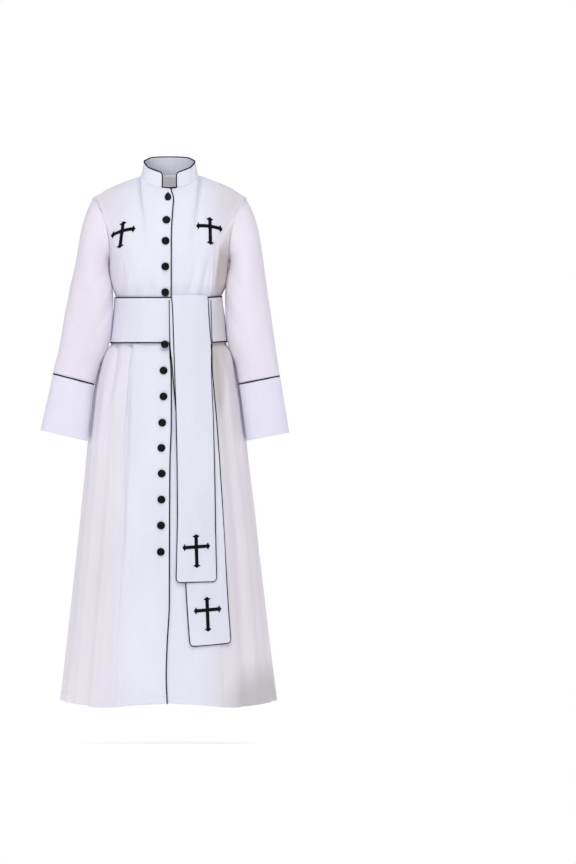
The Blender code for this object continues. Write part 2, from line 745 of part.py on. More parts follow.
def make_cuffs():
    for side, word in ((RIGHT, "right"), (LEFT, "left")):
        rows = cuff_rows(side)
        name = f"cuff_{word}"
        normals = shared_normals({name: rows}, {name}, {name: sleeve_axis(side)})[name]
        cloth = make_material(f"cloth_{name}", WHITE, 0.55)
        outer = add_wall(name, rows, normals, CUFF_WALL, cloth, True, ("first_row", "last_row"))
        black = make_material(f"piping_{name}", BLACK, 0.5)
        top = SLEEVES[side][-2][0]
        ring = [sleeve_point(side, turn, top) for turn in armhole_turns()]
        ring = [point - normal * (CUFF_WALL / 2) for point, normal in zip(ring, normals[0])]
        add_tube(f"piping_{name}", ring, CUFF_PIPING, black, True)
        surface = bvh_of(outer, True)
        for number, station in enumerate(CUFF_BUTTON_STATIONS, 1):
            spot = cuff_point(side, CUFF_BUTTON_ANGLE, station)
            ahead = cuff_point(side, CUFF_BUTTON_ANGLE, station - 0.05)
            beside = cuff_point(side, CUFF_BUTTON_ANGLE - 5, station)
            outward = unit(np.cross(ahead - spot, beside - spot)) * -side
            add_button(f"button_cuff_{word}_{number}", [surface], spot, outward)


def neck_line(walls):
    """The neckline's outer points, from the notch on the wearer's left round the back to the right."""
    left = [row for row in walls["front_left_centre"][0][-1][3:4 + NECK_COLUMNS + 1]]
    back_left = list(reversed(walls["back_left_centre"][0][-1][:BACK_NECK_COLUMNS + 1]))
    back_right = list(walls["back_right_centre"][0][-1][:BACK_NECK_COLUMNS + 1])
    right = list(reversed(walls["front_right_centre"][0][-1][1:3 + NECK_COLUMNS]))
    line = left[:-1] + [(left[-1] + back_left[0]) / 2] + back_left[1:-1]
    line += [(back_left[-1] + back_right[0]) / 2] + back_right[1:-1]
    line += [(back_right[-1] + right[0]) / 2] + right[1:]
    return line


def along_line(line, x_start, x_end, count):
    """Points spread along a line of points, between the places where its ends reach two values of x."""
    line = np.array(line)

    def trim(points, x_limit):
        for k in range(len(points) - 1):
            a, b = points[k], points[k + 1]
            if min(a[0], b[0]) <= x_limit <= max(a[0], b[0]):
                t = (x_limit - a[0]) / (b[0] - a[0])
                return np.concatenate([[a + (b - a) * t], points[k + 1:]])
        return points

    line = trim(line, x_start)
    line = trim(line[::-1], x_end)[::-1]
    lengths = np.concatenate([[0], np.cumsum(np.linalg.norm(np.diff(line, axis=0), axis=1))])
    wanted = np.linspace(0, lengths[-1], count + 1)
    return [np.array([np.interp(w, lengths, line[:, k]) for k in range(3)]) for w in wanted]


def make_collar(walls):
    """The stand collar, with a square notch at the front, and the piping round its edge."""
    base = along_line(neck_line(walls), NOTCH_HALF_WIDTH, -NOTCH_HALF_WIDTH, COLLAR_COLUMNS)
    first = math.degrees(math.asin(NOTCH_HALF_WIDTH / COLLAR_TOP_HALF_WIDTH))
    rows = []
    for r in range(COLLAR_ROWS + 1):
        t = r / COLLAR_ROWS
        row = []
        for c, foot in enumerate(base):
            angle = first + (360 - 2 * first) * c / COLLAR_COLUMNS
            a = math.radians(angle)
            height = collar_top(min(angle, 360 - angle))
            if c in (0, COLLAR_COLUMNS):
                height -= COLLAR_CORNER
            top = np.array([COLLAR_TOP_HALF_WIDTH * math.sin(a),
                            NECK_MIDDLE - COLLAR_TOP_HALF_DEPTH * math.cos(a), height])
            foot_up = foot + np.array([0.0, 0.0, COLLAR_GAP])
            bow = math.sin(math.pi * t) * COLLAR_BOW
            row.append(foot_up + (top - foot_up) * t + bow * np.array([-math.sin(a), math.cos(a), 0.0]))
        rows.append(row)
    name = "collar"

    def axis(point):
        return np.array([0.0, NECK_MIDDLE, point[2]])

    normals = shared_normals({name: rows}, set(), {name: axis})[name]
    cloth = make_material("cloth_collar", WHITE, 0.55)
    every_side = ("first_row", "last_row", "first_column", "last_column")
    add_wall(name, rows, normals, COLLAR_WALL, cloth, False, every_side)
    make_collar_piping(np.array(rows), normals)


def make_collar_piping(rows, normals):
    """Along the collar's top edge, down both sides of the notch and across its foot."""
    middle = rows - normals * (COLLAR_WALL / 2)
    lift = COLLAR_PIPING_LIFT
    top = [middle[-1, c] + np.array([0.0, 0.0, lift]) for c in range(1, COLLAR_COLUMNS)]
    foot = [foot_of_notch(x, lift) for x in NOTCH_PIPING_X]
    path = top + notch_side(middle[:, COLLAR_COLUMNS], 1, lift) + foot
    path += reversed(notch_side(middle[:, 0], -1, lift))
    add_tube("piping_collar", path, PIPING, make_material("piping_collar", BLACK, 0.5), True)


def notch_side(edge, inward, lift):
    """The piping's path down one side of the notch, from its rounded corner to its foot."""
    beside = np.array([inward * lift, 0.0, 0.0])
    corner = edge[-1] + np.array([inward * lift * NOTCH_CORNER[0], 0.0, lift * NOTCH_CORNER[1]])
    below_corner = edge[-1] + (edge[-2] - edge[-1]) * NOTCH_CORNER_DROP + beside
    down = [edge[r] + beside for r in range(COLLAR_ROWS - 1, 0, -1)]
    foot = edge[0] + beside + np.array([0.0, 0.0, lift + NOTCH_FOOT_RISE])
    return [corner, below_corner] + down + [foot]


def foot_of_notch(x, lift):
    """A point just above the front's top edge, inside the notch."""
    angle = math.degrees(math.asin(x / NECK_HALF_WIDTH))
    return neck_point(angle) + np.array([0.0, COLLAR_WALL / 2, lift + NOTCH_FOOT_RISE])


def make_front_piping(walls):
    """Beside the edge of the wearer's right front, from the notch to the hem."""
    outer, normals = walls["front_right_centre"]
    path = []
    for r in range(outer.shape[0]):
        beside = unit(outer[r, 0] - outer[r, 1])
        path.append(outer[r, 0] + beside * (PIPING + GAP) - normals[r, 0] * FRONT_PIPING_SINK)
    finer = [path[0]]
    for k in range(len(path) - 1):
        finer += [(path[k] + path[k + 1]) / 2, path[k + 1]]
    finer[-1] = finer[-1] + (finer[-2] - finer[-1]) * FRONT_PIPING_SHORT
    add_tube("piping_front", finer, PIPING, make_material("piping_front", BLACK, 0.5))


# Belt and falls


def body_front(x, z):
    """The front of the body at this x and height, with the drop of the hem's rings taken out."""
    share = max((WAIST - z) / (WAIST - HEM), 0.0)
    ring = z - hem_drop(abs(angle_of(x, z))) * share ** 2
    return ring_point(angle_of(x, ring), ring)


def on_skirt(x, z, lift):
    """A point over the front of the body at this x and height, lifted off it along its normal."""
    across = body_front(x + 2, z) - body_front(x - 2, z)
    along = body_front(x, z + 4) - body_front(x, z - 4)
    return body_front(x, z) + unit(np.cross(across, along)) * lift


def belt_point(angle, share, lift):
    """A point over the waist: share 0 at the belt's foot and 1 at its top edge."""
    z = BELT_BOTTOM + (BELT_TOP - BELT_BOTTOM) * share
    here = ring_point(angle, z)
    ahead = ring_point(angle + 1, z) - ring_point(angle - 1, z)
    outward = unit(np.cross(ahead, np.array([0.0, 0.0, 1.0])))
    rise = BELT_RISE * ease((here[0] - 90) / 50)
    return here + outward * lift + np.array([0.0, 0.0, rise])


def make_belt():
    """The belt and its two pipings. Gives search trees over them, for the button that lies on the edge."""
    angles = [360 * k / BELT_COLUMNS for k in range(BELT_COLUMNS)]
    shares = [0.0, 0.5, 1.0]
    outer = np.array([[belt_point(a, s, BELT_LIFT + BELT_WALL) for a in angles] for s in shares])
    inner = np.array([[belt_point(a, s, BELT_LIFT) for a in angles] for s in shares])
    points, faces = solid_from_layers(outer, inner, True)
    add_object("belt", points, faces, make_material("cloth_belt", BAND_WHITE, 0.5))
    surfaces = [bvh_of(outer, True)]
    for word, row, way in (("bottom", 0, -1), ("top", -1, 1)):
        middle = (outer[row] + inner[row]) / 2 + np.array([0.0, 0.0, way * (PIPING + GAP)])
        name = f"piping_belt_{word}"
        points, faces = tube(middle, PIPING, True)
        add_object(name, points, faces, make_material(name, BLACK, 0.5))
        surfaces.append(BVHTree.FromPolygons([Vector(point) for point in points], faces))
    return surfaces


def fall_lift(z, lifts):
    """The height of a fall over the skirt: it stands off at the belt and settles below it."""
    at_belt, below = lifts
    return at_belt + (below - at_belt) * ease((FALL_SETTLE_START - z) / FALL_SETTLE_REACH)


def slanted(table, slant, x, z):
    """The height of a fall's row at this x: the rows climb more and more towards the slanting foot."""
    top, foot = table[0][0], table[-1][0]
    return z + slant * (x - column_curve(table, 1)(z)) * ((top - z) / (top - foot)) ** 2


def fall_grid(table, lifts, slant, tail):
    """Outer and inner grids of a fall, from its top, or its folded tail, to its foot."""
    middle, half = column_curve(table, 1), column_curve(table, 2)
    top, foot = table[0][0], table[-1][0]
    shares = [2 * k / FALL_COLUMNS - 1 for k in range(FALL_COLUMNS + 1)]
    inner, outer = [], []
    if tail:
        for z in (FALL_TAIL_FOOT, FALL_TAIL_TOP):
            across = [middle(z) + FALL_TAIL_IN / 2 + s * (half(z) - FALL_TAIL_IN) for s in shares]
            inner.append([on_skirt(x, z, FALL_TAIL_LIFT + FALL_WALL) for x in across])
            outer.append([on_skirt(x, z, FALL_TAIL_LIFT) for x in across])
        # Over the belt: share of the way out, height over the fall's top row
        for share, height in FALL_FOLD:
            lift = FALL_TAIL_LIFT + FALL_WALL / 2 + share * (lifts[0] + FALL_WALL / 2 - FALL_TAIL_LIFT)
            raised = [on_skirt(middle(top) + s * half(top), top, lift) for s in shares]
            outer.append([p + np.array([0, 0, height]) for p in raised])
            inner.append([p + np.array([0, 0, height - FALL_WALL]) for p in raised])
    for z in fall_rows(table):
        corner = FALL_CORNER * FALL_CORNER_CUT if z == foot else 0.0
        lift = fall_lift(z, lifts)
        here = []
        for s in shares:
            end = corner if abs(s) == 1 else 0
            x = middle(z) + s * (half(z) - end)
            here.append((x, slanted(table, slant, x, z) + end))
        inner.append([on_skirt(x, height, lift) for x, height in here])
        outer.append([on_skirt(x, height, lift + FALL_WALL) for x, height in here])
    return np.array(outer), np.array(inner)


def fall_rows(table):
    """The heights of a fall's rows below its fold."""
    return [z for z in FALL_ROWS if z > table[-1][0] + FALL_LAST_STEP] + [table[-1][0]]


def fall_edge(table, lifts, slant):
    """The piping's path round a fall: down its left edge, across its foot and up its right edge."""
    middle, half = column_curve(table, 1), column_curve(table, 2)
    foot = table[-1][0]
    away = FALL_PIPING + GAP
    heights = [FALL_ROWS[0] + FALL_PIPING_RISE] + fall_rows(table)[:-1] + [foot + FALL_CORNER]

    def beside(x, z):
        return on_skirt(x, slanted(table, slant, x, z), fall_lift(z, lifts) + FALL_WALL / 2)

    def corner(side, degrees):
        a = math.radians(degrees)
        radius = FALL_CORNER + away
        x = middle(foot) + side * (half(foot) - FALL_CORNER + radius * math.cos(a))
        return beside(x, foot + FALL_CORNER - radius * math.sin(a))

    path = [beside(middle(z) - half(z) - away, z) for z in heights]
    path += [corner(-1, degrees) for degrees in (30, 60)]
    for k in range(1, FALL_COLUMNS):
        path.append(beside(middle(foot) + (2 * k / FALL_COLUMNS - 1) * half(foot), foot - away))
    path += [corner(1, degrees) for degrees in (60, 30)]
    path += [beside(middle(z) + half(z) + away, z) for z in reversed(heights)]
    return path


def make_falls():
    falls = [("front", FRONT_FALL, FRONT_FALL_LIFT, FRONT_FALL_SLANT, True),
             ("under", UNDER_FALL, UNDER_FALL_LIFT, UNDER_FALL_SLANT, False)]
    for word, table, lifts, slant, tail in falls:
        outer, inner = fall_grid(table, lifts, slant, tail)
        points, faces = solid_from_layers(outer, inner, False)
        add_object(f"fall_{word}", points, faces, make_material(f"cloth_fall_{word}", BAND_WHITE, 0.5))
        black = make_material(f"piping_fall_{word}", BLACK, 0.5)
        add_tube(f"piping_fall_{word}", fall_edge(table, lifts, slant), FALL_PIPING, black)


# Buttons and crosses


def bvh_of(outer, closed=False):
    """A search tree over a grid's outer face."""
    count = outer.shape[1]
    points = [Vector(p) for p in outer.reshape(-1, 3)]
    faces = []
    for r in range(outer.shape[0] - 1):
        for c in range(count if closed else count - 1):
            d = (c + 1) % count
            a, b = r * count + c, r * count + d
            faces += [(a, b, b + count), (a, b + count, a + count)]
    return BVHTree.FromPolygons(points, faces)


def height_over(surface, point, outward):
    """How far the surface stands over a point, along a direction, or None where it misses."""
    hit = surface.ray_cast(Vector(point + outward * 60), Vector(-outward), 120)
    return None if hit[0] is None else 60 - hit[3]


def add_button(name, surfaces, spot, outward):
    """A round button with a raised rim, set clear of every surface below it and square to the cloth."""
    across = unit(np.cross(outward, np.array([0.0, 0.0, 1.0])))
    up = np.cross(across, outward)

    def ring(radius, count):
        angles = [2 * math.pi * k / count for k in range(count)]
        return [(across * math.cos(a) + up * math.sin(a)) * radius for a in angles]

    probes = [spot] + [spot + offset for offset in ring(BUTTON_RADIUS, 2 * BUTTON_SIDES)]
    probes += [spot + offset for offset in ring(BUTTON_RADIUS * BUTTON_PROBE, BUTTON_SIDES)]
    over = [height_over(surface, probe, outward) for surface in surfaces for probe in probes]
    base = max(height for height in over if height is not None) + BUTTON_GAP
    points, faces = [], []
    for share, height in BUTTON_PROFILE:
        centre = spot + outward * (base + height)
        points += [centre + offset for offset in ring(BUTTON_RADIUS * share, BUTTON_SIDES)]
    for r in range(len(BUTTON_PROFILE) - 1):
        for s in range(BUTTON_SIDES):
            a, b = r * BUTTON_SIDES + s, r * BUTTON_SIDES + (s + 1) % BUTTON_SIDES
            faces.append((a, b, b + BUTTON_SIDES, a + BUTTON_SIDES))
    last = (len(BUTTON_PROFILE) - 1) * BUTTON_SIDES
    faces.append(tuple(reversed(range(BUTTON_SIDES))))
    faces.append(tuple(last + s for s in range(BUTTON_SIDES)))
    add_object(name, points, faces, make_material(name, BLACK, 0.3))


def front_surface_point(surface, x, z):
    """Where a straight look from the front at x and z meets the cloth, and its outward normal."""
    hit = surface.ray_cast(Vector((x, -400.0, z)), Vector((0.0, 1.0, 0.0)), 600)
    normal = np.array(hit[1])
    return np.array(hit[0]), normal if normal[1] < 0 else -normal


def make_buttons(walls, belt_surfaces):
    surface = bvh_of(walls["front_right_centre"][0])
    for number, z in enumerate(BUTTON_HEIGHTS, 1):
        spot, outward = front_surface_point(surface, front_edge(z) - button_setback(z), z)
        below = [surface] + belt_surfaces if z < BELT_BOTTOM else [surface]
        add_button(f"button_front_{number:02d}", below, spot, outward)


def cross_mesh(place, up, down, right, left):
    """A Latin cross with barbed ends: place turns a flat point and a height into a point in space."""
    bar = CROSS_BAR
    flat = [(-bar, -bar), (bar, -bar), (bar, bar), (-bar, bar)]
    faces = [(0, 1, 2, 3)]
    # Each arm: its way, its reach, and the two corners of the crossing that it grows from
    arms = [((0, 1), up, 3, 2), ((1, 0), left, 2, 1), ((0, -1), down, 1, 0), ((-1, 0), right, 0, 3)]
    rim = []
    for way, reach, first, second in arms:
        left_edge, right_edge = [first], [second]
        stations = [((reach - CROSS_POINT[0][0]) * share, bar) for share in CROSS_STATIONS]
        stations += [(reach - from_tip, wide) for from_tip, wide in CROSS_POINT]
        for along, wide in stations:
            for edge, sign in ((left_edge, -1), (right_edge, 1)):
                flat.append((way[0] * along + way[1] * sign * wide, way[1] * along - way[0] * sign * wide))
                edge.append(len(flat) - 1)
        flat.append((way[0] * reach, way[1] * reach))
        tip = len(flat) - 1
        for k in range(len(left_edge) - 1):
            faces.append((left_edge[k], right_edge[k], right_edge[k + 1], left_edge[k + 1]))
        faces.append((left_edge[-1], right_edge[-1], tip))
        rim += left_edge + [tip] + list(reversed(right_edge))[:-1]
    count = len(flat)
    points = [place(x, z, 0.0) for x, z in flat] + [place(x, z, CROSS_THICKNESS) for x, z in flat]
    body = [tuple(reversed(face)) for face in faces] + [tuple(i + count for i in face) for face in faces]
    for k, here in enumerate(rim):
        there = rim[(k + 1) % len(rim)]
        body.append((there, here, here + count, there + count))
    return points, body


def make_crosses(walls):
    fall_lifts = {"cross_fall_front": FRONT_FALL_LIFT, "cross_fall_under": UNDER_FALL_LIFT}
    for name, (x0, z0, up, down, right, left, lean, slope, sag) in CROSSES.items():
        chest = bvh_of(walls["front_right_centre" if x0 < 0 else "front_left_centre"][0])

        def place(x, z, height):
            across, rise = x0 + x + lean * z, z0 + z + slope * x - sag * x * x
            if name in fall_lifts:
                over = fall_lift(rise, fall_lifts[name]) + FALL_WALL
                return on_skirt(across, rise, over + height + CROSS_GAP)
            spot, outward = front_surface_point(chest, across, rise)
            return spot + outward * (height + CHEST_CROSS_GAP)

        add_object(name, *cross_mesh(place, up, down, right, left), make_material(name, BLACK, 0.6))


def main():
    for old in list(bpy.data.objects):
        bpy.data.objects.remove(old)
    walls = make_body()
    make_cuffs()
    make_collar(walls)
    make_front_piping(walls)
    belt_surfaces = make_belt()
    make_falls()
    make_buttons(walls, belt_surfaces)
    make_crosses(walls)


main()
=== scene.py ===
# Looks of a white clergy robe, worn form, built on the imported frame.
# Sizes are in millimetres up to the last step, which writes metres. +Z is up, the front faces -Y and
# +X is the wearer's left. The walls follow the same tables as the part's source, on a much finer grid.

import math

import bpy
import numpy as np
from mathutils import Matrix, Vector
from mathutils.bvhtree import BVHTree


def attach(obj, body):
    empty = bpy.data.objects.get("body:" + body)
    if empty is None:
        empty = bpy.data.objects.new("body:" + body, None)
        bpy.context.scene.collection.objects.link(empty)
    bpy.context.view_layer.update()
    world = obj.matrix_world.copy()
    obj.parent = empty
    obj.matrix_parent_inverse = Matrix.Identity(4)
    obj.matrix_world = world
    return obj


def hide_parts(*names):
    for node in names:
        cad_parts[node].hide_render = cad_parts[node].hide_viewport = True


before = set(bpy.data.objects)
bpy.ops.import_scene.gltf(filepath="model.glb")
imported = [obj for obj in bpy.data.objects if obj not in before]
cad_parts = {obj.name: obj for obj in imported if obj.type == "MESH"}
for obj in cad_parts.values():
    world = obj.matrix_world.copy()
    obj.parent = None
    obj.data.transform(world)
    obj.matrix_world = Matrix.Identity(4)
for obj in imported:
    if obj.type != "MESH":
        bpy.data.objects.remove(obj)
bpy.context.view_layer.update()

MM = 0.001
RIGHT, LEFT = -1, 1
WORD = {RIGHT: "right", LEFT: "left"}

# Cloth thicknesses and gaps
CLOTH = 0.9
BAND_CLOTH = 1.6
CUFF_CLOTH = 1.6
COLLAR_CLOTH = 1.9
LAP_SINK = 2.45
GAP = 0.3
BELT_WALL = 2.6
FALL_WALL = 1.8
TUCK = 2.6
HEM_STITCH = 26.0

# The body wall. Each row: height, half width right, half width left, front depth, back depth, middle y
SECTIONS = [
    (-1380, 286, 280, 216, 236, 10),
    (-1130, 258, 251, 193, 208, 12),
    (-892, 232, 225, 168, 182, 14),
    (-689, 212, 199, 146, 158, 17),
    (-629, 206, 189, 139, 150, 18),
    (-569, 200, 184, 132, 142, 18),
    (-524, 191, 177, 126, 134, 18),
    (-490, 181, 171, 121, 127, 18),
    (-458, 166, 160, 114, 116, 17),
    (-438, 149.5, 146, 108, 103, 15),
    (-375, 142.5, 139, 104, 93, 12),
    (-318, 137.5, 132, 104, 92, 10),
    (-302, 142, 138, 104.5, 93, 9),
    (-282, 149, 145.5, 111, 99.5, 8),
    (-250, 153.5, 149, 116, 102, 5),
]
SQUARENESS = 2.2
CHEST, WAIST, HEM = -250.0, -438.0, -1371.0
WAIST_SEAM = -422.0
HEM_DROP = [(0, 2), (22, -3), (43, -9), (70, 3), (90, 8), (110, 4), (150, -7), (180, 0)]

# Folds of the skirt: angle, half width, depth at the hem
FOLDS = [
    (52, 9, 20), (-57, 8, 13), (-38, 5, 5), (79, 7, 9), (-80, 7, 10), (180, 7, 13), (135, 9, 16),
    (-133, 9, 17), (106, 7, 9), (-107, 7, 8), (150, 5, 5), (-150, 5, 5),
]
# Finer folds between them, which start below the belt: angle, half width, depth
FINE_FOLDS = [
    (-67, 4.0, 3.0), (-49, 3.5, 2.0), (-91, 4.5, 3.0), (-29, 4.0, 1.6), (-16, 4.5, 1.2), (15, 4.0, 1.2),
    (34, 4.0, 2.0), (43, 3.0, 2.2), (64, 4.0, 3.0), (70, 2.5, -1.5), (92, 4.5, 3.0), (120, 5.0, 3.0),
    (-120, 5.0, 3.0), (165, 4.5, 2.4), (-165, 4.5, 2.4), (142, 3.0, -1.5), (-142, 3.0, -1.5), (-98, 3, -1.5),
]
FRONT_SEAM = [(-1371, 143), (-1147, 132), (-892, 122), (-700, 117), (-591, 111), (-496, 104), (-437, 98),
              (-375, 101), (-309, 108), (-250, 117)]
BACK_SEAM = [(-1371, 142), (-1161, 127), (-894, 114), (-639, 106), (-520, 100), (-438, 90), (-375, 88),
             (-315, 88), (-250, 103)]
FRONT_EDGE = [(-1371, -6.5), (-1300, -9), (-1225, -7), (-1109, -1), (-892, -0.5), (-744, 0.5), (-640, 3.9),
              (-515, 3.4), (-438, -0.5), (-296, 3.4), (-156, 3.9), (-88, 7.3), (-60, 9.5), (-34, 2.3)]
LAP_WIDTH = 33.0
LAP_EASE = (5.0, 24.0)
EDGE_TOP = -34.0

# Top edges of the body
NECK_HALF_WIDTH, NECK_HALF_DEPTH, NECK_MIDDLE = 77.0, 60.0, -2.0
NECK_HEIGHT = [(0, -31), (30, -27), (60, -15), (97, -6), (140, -3), (180, -2)]
NECK_POINT_ANGLE = 96.7
NECK_LEAN = 0.6
SHOULDER_TIP = np.array([197.0, 12.0, -55.0])
UNDERARM = np.array([154.0, 5.0, -215.0])
ARMHOLE_REACH = 58.0
ARMHOLE_CURVE = 2.1
# Shares of a centre panel's top edge: neck, shoulder, armhole
FRONT_SHARES, BACK_SHARES = (3, 3, 4), (4, 3, 4)

# Sleeves: height of a ring's middle, its x from the robe's middle, y, half width, half depth, tilt
SLEEVES = {
    LEFT: [(-262, 199.5, 0, 50, 61, 10), (-310, 200.5, -3, 55.5, 58, 8), (-370, 206.5, -8, 58, 52, 7),
           (-430, 214.5, -12, 58, 47, 8), (-480, 226, -15, 54.5, 43, 10),
           (-530.5, 233.5, -18, 54.7, 40, 11.4), (-677.5, 255.5, -24, 56.5, 42, 10.7)],
    RIGHT: [(-262, 203, 0, 48, 61, 10), (-310, 204, -3, 58, 58, 8), (-370, 212, -8, 61.5, 52, 8),
            (-430, 222.5, -12, 60.5, 47, 10), (-480, 237, -15, 56, 43, 12.5),
            (-528, 249, -18, 55.8, 40, 14.5), (-675, 273.5, -24, 62.5, 42, 12.8)],
}

# Collar, belt and falls
COLLAR_TOP = [(17, 6.5), (35, 14), (55, 21), (73, 31), (90, 36.5), (113, 41), (136, 47), (159, 48.6),
              (180, 49)]
COLLAR_TOP_HALF_WIDTH, COLLAR_TOP_HALF_DEPTH = 67.0, 53.0
NOTCH_HALF_WIDTH = 20.0
COLLAR_CORNER = 2.0
BELT_TOP, BELT_BOTTOM = -318.0, -432.0
BELT_WIDTH = BELT_TOP - BELT_BOTTOM
BELT_LIFT = 3.5
BELT_RISE = 3.0
FRONT_FALL = [(-312, 49.4, 42.6), (-345, 51.8, 42.6), (-400, 54.6, 43.6), (-450, 57.4, 44.9),
              (-560, 61.8, 45.3), (-629, 64.5, 45.7), (-892, 69.3, 47.2), (-1054.5, 69.3, 50.5)]
UNDER_FALL = [(-330, 51, 50), (-440, 54, 51), (-500, 58.5, 49.5), (-560, 63.7, 49.8), (-645, 71, 50),
              (-892, 86, 51.5), (-1110, 98.5, 51.5), (-1217, 106, 51.5)]
# How far a fall's foot climbs towards the wearer's left, as a slope
FRONT_FALL_SLANT, UNDER_FALL_SLANT = 0.03, 0.085
FALL_CORNER = 9.0
FRONT_FALL_LIFT, UNDER_FALL_LIFT = (9.6, 5.2), (7.0, 2.2)

# Piping, buttons and crosses
PIPING, FALL_PIPING, CUFF_PIPING = 1.7, 1.3, 1.5
BUTTON_RADIUS = 10.3
BUTTON_HEIGHTS = [-56, -115, -169.5, -236, -303, -440.5, -506, -573.5, -641.5, -707, -773.5, -841, -908,
                  -976.5]
BUTTON_SETBACK = [(-1371, 21), (-976, 21), (-773, 19.5), (-707, 22), (-641, 22), (-573, 18.5), (-506, 18),
                  (-440, 11), (-303, 14), (-56, 12.8)]
# Buttons that lie unlike the rest: how far over the cloth, how far drawn up to a point, how narrow.
# The first is turned on its thread and the sixth lies on the belt's lower edge.
LOOSE_BUTTONS = {1: (0.0, 0.35, 0.84), 6: (8.0, 0.0, 1.0)}
# A sleeve's first ring below its head, millimetres of cloth to a degree of turn, the underarm seam's turn
SLEEVE_HEAD, MM_A_DEGREE, UNDERARM_TURN = -262, 0.95, 196
CUFF_BUTTON_STATIONS = [0.19, 0.50, 0.80]
CUFF_BUTTON_ANGLE = -53.0
CROSS_THICKNESS = 1.1
# The barbed point of a cross's arm: distance from its tip, half width
CROSS_POINT = [(9.2, 4.4), (8.2, 5.0), (7.0, 7.2), (6.0, 9.0), (5.4, 9.5), (5.0, 9.0), (4.0, 6.0), (3.0, 4.3),
               (1.8, 3.2), (0.7, 1.7), (0.0, 0.4)]
# Each row: middle x, height of the crossing, reach up, down, to the right, to the left,
# lean of the upright, slope of the bar, sag of the bar
CROSSES = {
    "cross_chest_right": (-122.7, -143.8, 25.5, 44.5, 29, 35, 0.13, 0.31, 0.0042),
    "cross_chest_left": (105.6, -131.6, 24, 48, 36, 32, -0.025, -0.14, 0.0034),
    "cross_fall_front": (70.5, -963.5, 33, 54.5, 36, 35.5, -0.03, 0.07, 0.0),
    "cross_fall_under": (99, -1127, 34, 56, 35, 36, -0.04, 0.083, 0.0),
}

# Soft creases of the front, by x and height: from, to, half width, height, bow, sharpness
FRONT_CREASES = [
    # Gathers above the belt on the wearer's right
    (-131, -330, -118, -230, 6, -2.6, 2, 1.6),
    (-112, -330, -103, -240, 6, 1.8, 1, 1.8),
    (-84, -330, -66, -216, 7, -2.2, 2, 1.8),
    (-62, -330, -46, -236, 7, 1.6, 1, 1.8),
    (-38, -330, -30, -246, 6, -1.6, 1, 1.8),
    # and on the left, where the cloth is drawn to the side
    (42, -330, 72, -206, 8, -3.2, 3, 1.7),
    (62, -330, 90, -200, 8, 2.6, 3, 1.7),
    (78, -330, 104, -212, 7, -3.0, 2, 1.6),
    (100, -330, 128, -176, 8, 4.2, 5, 1.6),
    (120, -326, 140, -180, 9, -5.5, 5, 1.5),
    (110, -335, 124, -160, 3.2, -4.5, 0, 1.5),
    (100, -325, 112, -225, 2.6, -2.8, 0, 1.6),
    # Chest and shoulders
    (-140, -190, -152, -280, 9, -1.6, 3, 1.8),
    (-150, -110, -138, -215, 10, 1.0, 4, 2.0),
    (60, -60, 92, -180, 14, -0.3, 4, 2.0),
    (96, -56, 140, -120, 14, 0.9, 3, 2.0),
    (-66, -60, -84, -190, 16, -0.7, -4, 2.0),
    (-20, -150, -40, -290, 18, 0.7, 4, 2.0),
    (26, -130, 30, -250, 15, -0.6, 3, 2.0),
    # Skirt, below the belt
    (-96, -395, -113, -660, 3.6, -7.0, 0, 1.4),
    (-107, -540, -127, -1090, 6, -4.5, 0, 1.5),
    (-86, -410, -92, -640, 8, 2.6, -4, 1.8),
    (-103, -500, -124, -1040, 10, -4.2, 3, 1.7),
    (-88, -520, -100, -1040, 13, 2.6, 3, 2.0),
    (-133, -395, -168, -620, 4.0, -8.0, -8, 1.4),
    (-121, -400, -150, -600, 8, 2.6, -7, 1.8),
    (-60, -434, -66, -560, 7, -0.9, 2, 1.8),
    (113, -400, 128, -764, 11, -5.5, 2, 1.7),
    (132, -420, 168, -690, 12, 3.0, -5, 1.9),
    (128, -430, 178, -575, 5, -1.6, -12, 1.5),
    (146, -640, 196, -1240, 13, -4.2, -4, 1.9),
    (168, -700, 214, -1300, 13, 2.6, -3, 2.0),
    (-186, -700, -196, -1090, 10, -1.3, 3, 2.0),
    (-205, -800, -233, -1330, 10, 1.4, 3, 2.0),
    (-150, -720, -170, -1330, 10, 1.3, 3, 2.0),
    (-60, -900, -78, -1300, 26, 1.0, 6, 2.0),
    (-80, -640, -90, -1000, 20, -0.8, 4, 2.0),
    (40, -1130, 70, -1340, 16, -1.1, 4, 2.0),
    (120, -1150, 150, -1350, 12, 1.6, 4, 1.8),
    (168, -860, 192, -1340, 12, -1.8, 3, 1.8),
    (190, -800, 226, -1340, 12, 1.6, 4, 1.9),
    (-30, -1180, -50, -1350, 16, -0.9, 3, 2.0),
]
BACK_CREASES = [
    (-118, -314, -112, -232, 6, -1.4, 2, 1.7),
    (-86, -314, -90, -240, 6, 1.1, 2, 1.8),
    (-52, -314, -60, -226, 7, -1.2, 2, 1.8),
    (-20, -314, -26, -250, 6, 0.9, 2, 1.8),
    (22, -314, 28, -244, 6, -0.9, 2, 1.8),
    (56, -314, 62, -222, 7, 1.2, 2, 1.8),
    (88, -314, 92, -236, 6, -1.2, 2, 1.7),
    (120, -314, 114, -230, 6, 1.2, 2, 1.7),
    (-20, -40, -60, -120, 16, -0.8, 4, 2.0),
    (20, -40, 64, -116, 16, -0.8, 4, 2.0),
    (-120, -434, -150, -620, 6, -2.0, 3, 1.5),
    (120, -434, 152, -620, 6, -2.0, -3, 1.5),
    (-40, -434, -44, -600, 7, -1.2, 2, 1.7),
    (44, -434, 50, -600, 7, -1.2, -2, 1.7),
    (-176, -760, -214, -1340, 12, 1.6, 4, 2.0),
    (176, -760, 212, -1340, 12, 1.6, -4, 2.0),
    (-70, -760, -84, -1340, 16, 1.1, 4, 2.0),
    (72, -760, 86, -1340, 16, 1.1, -4, 2.0),
]
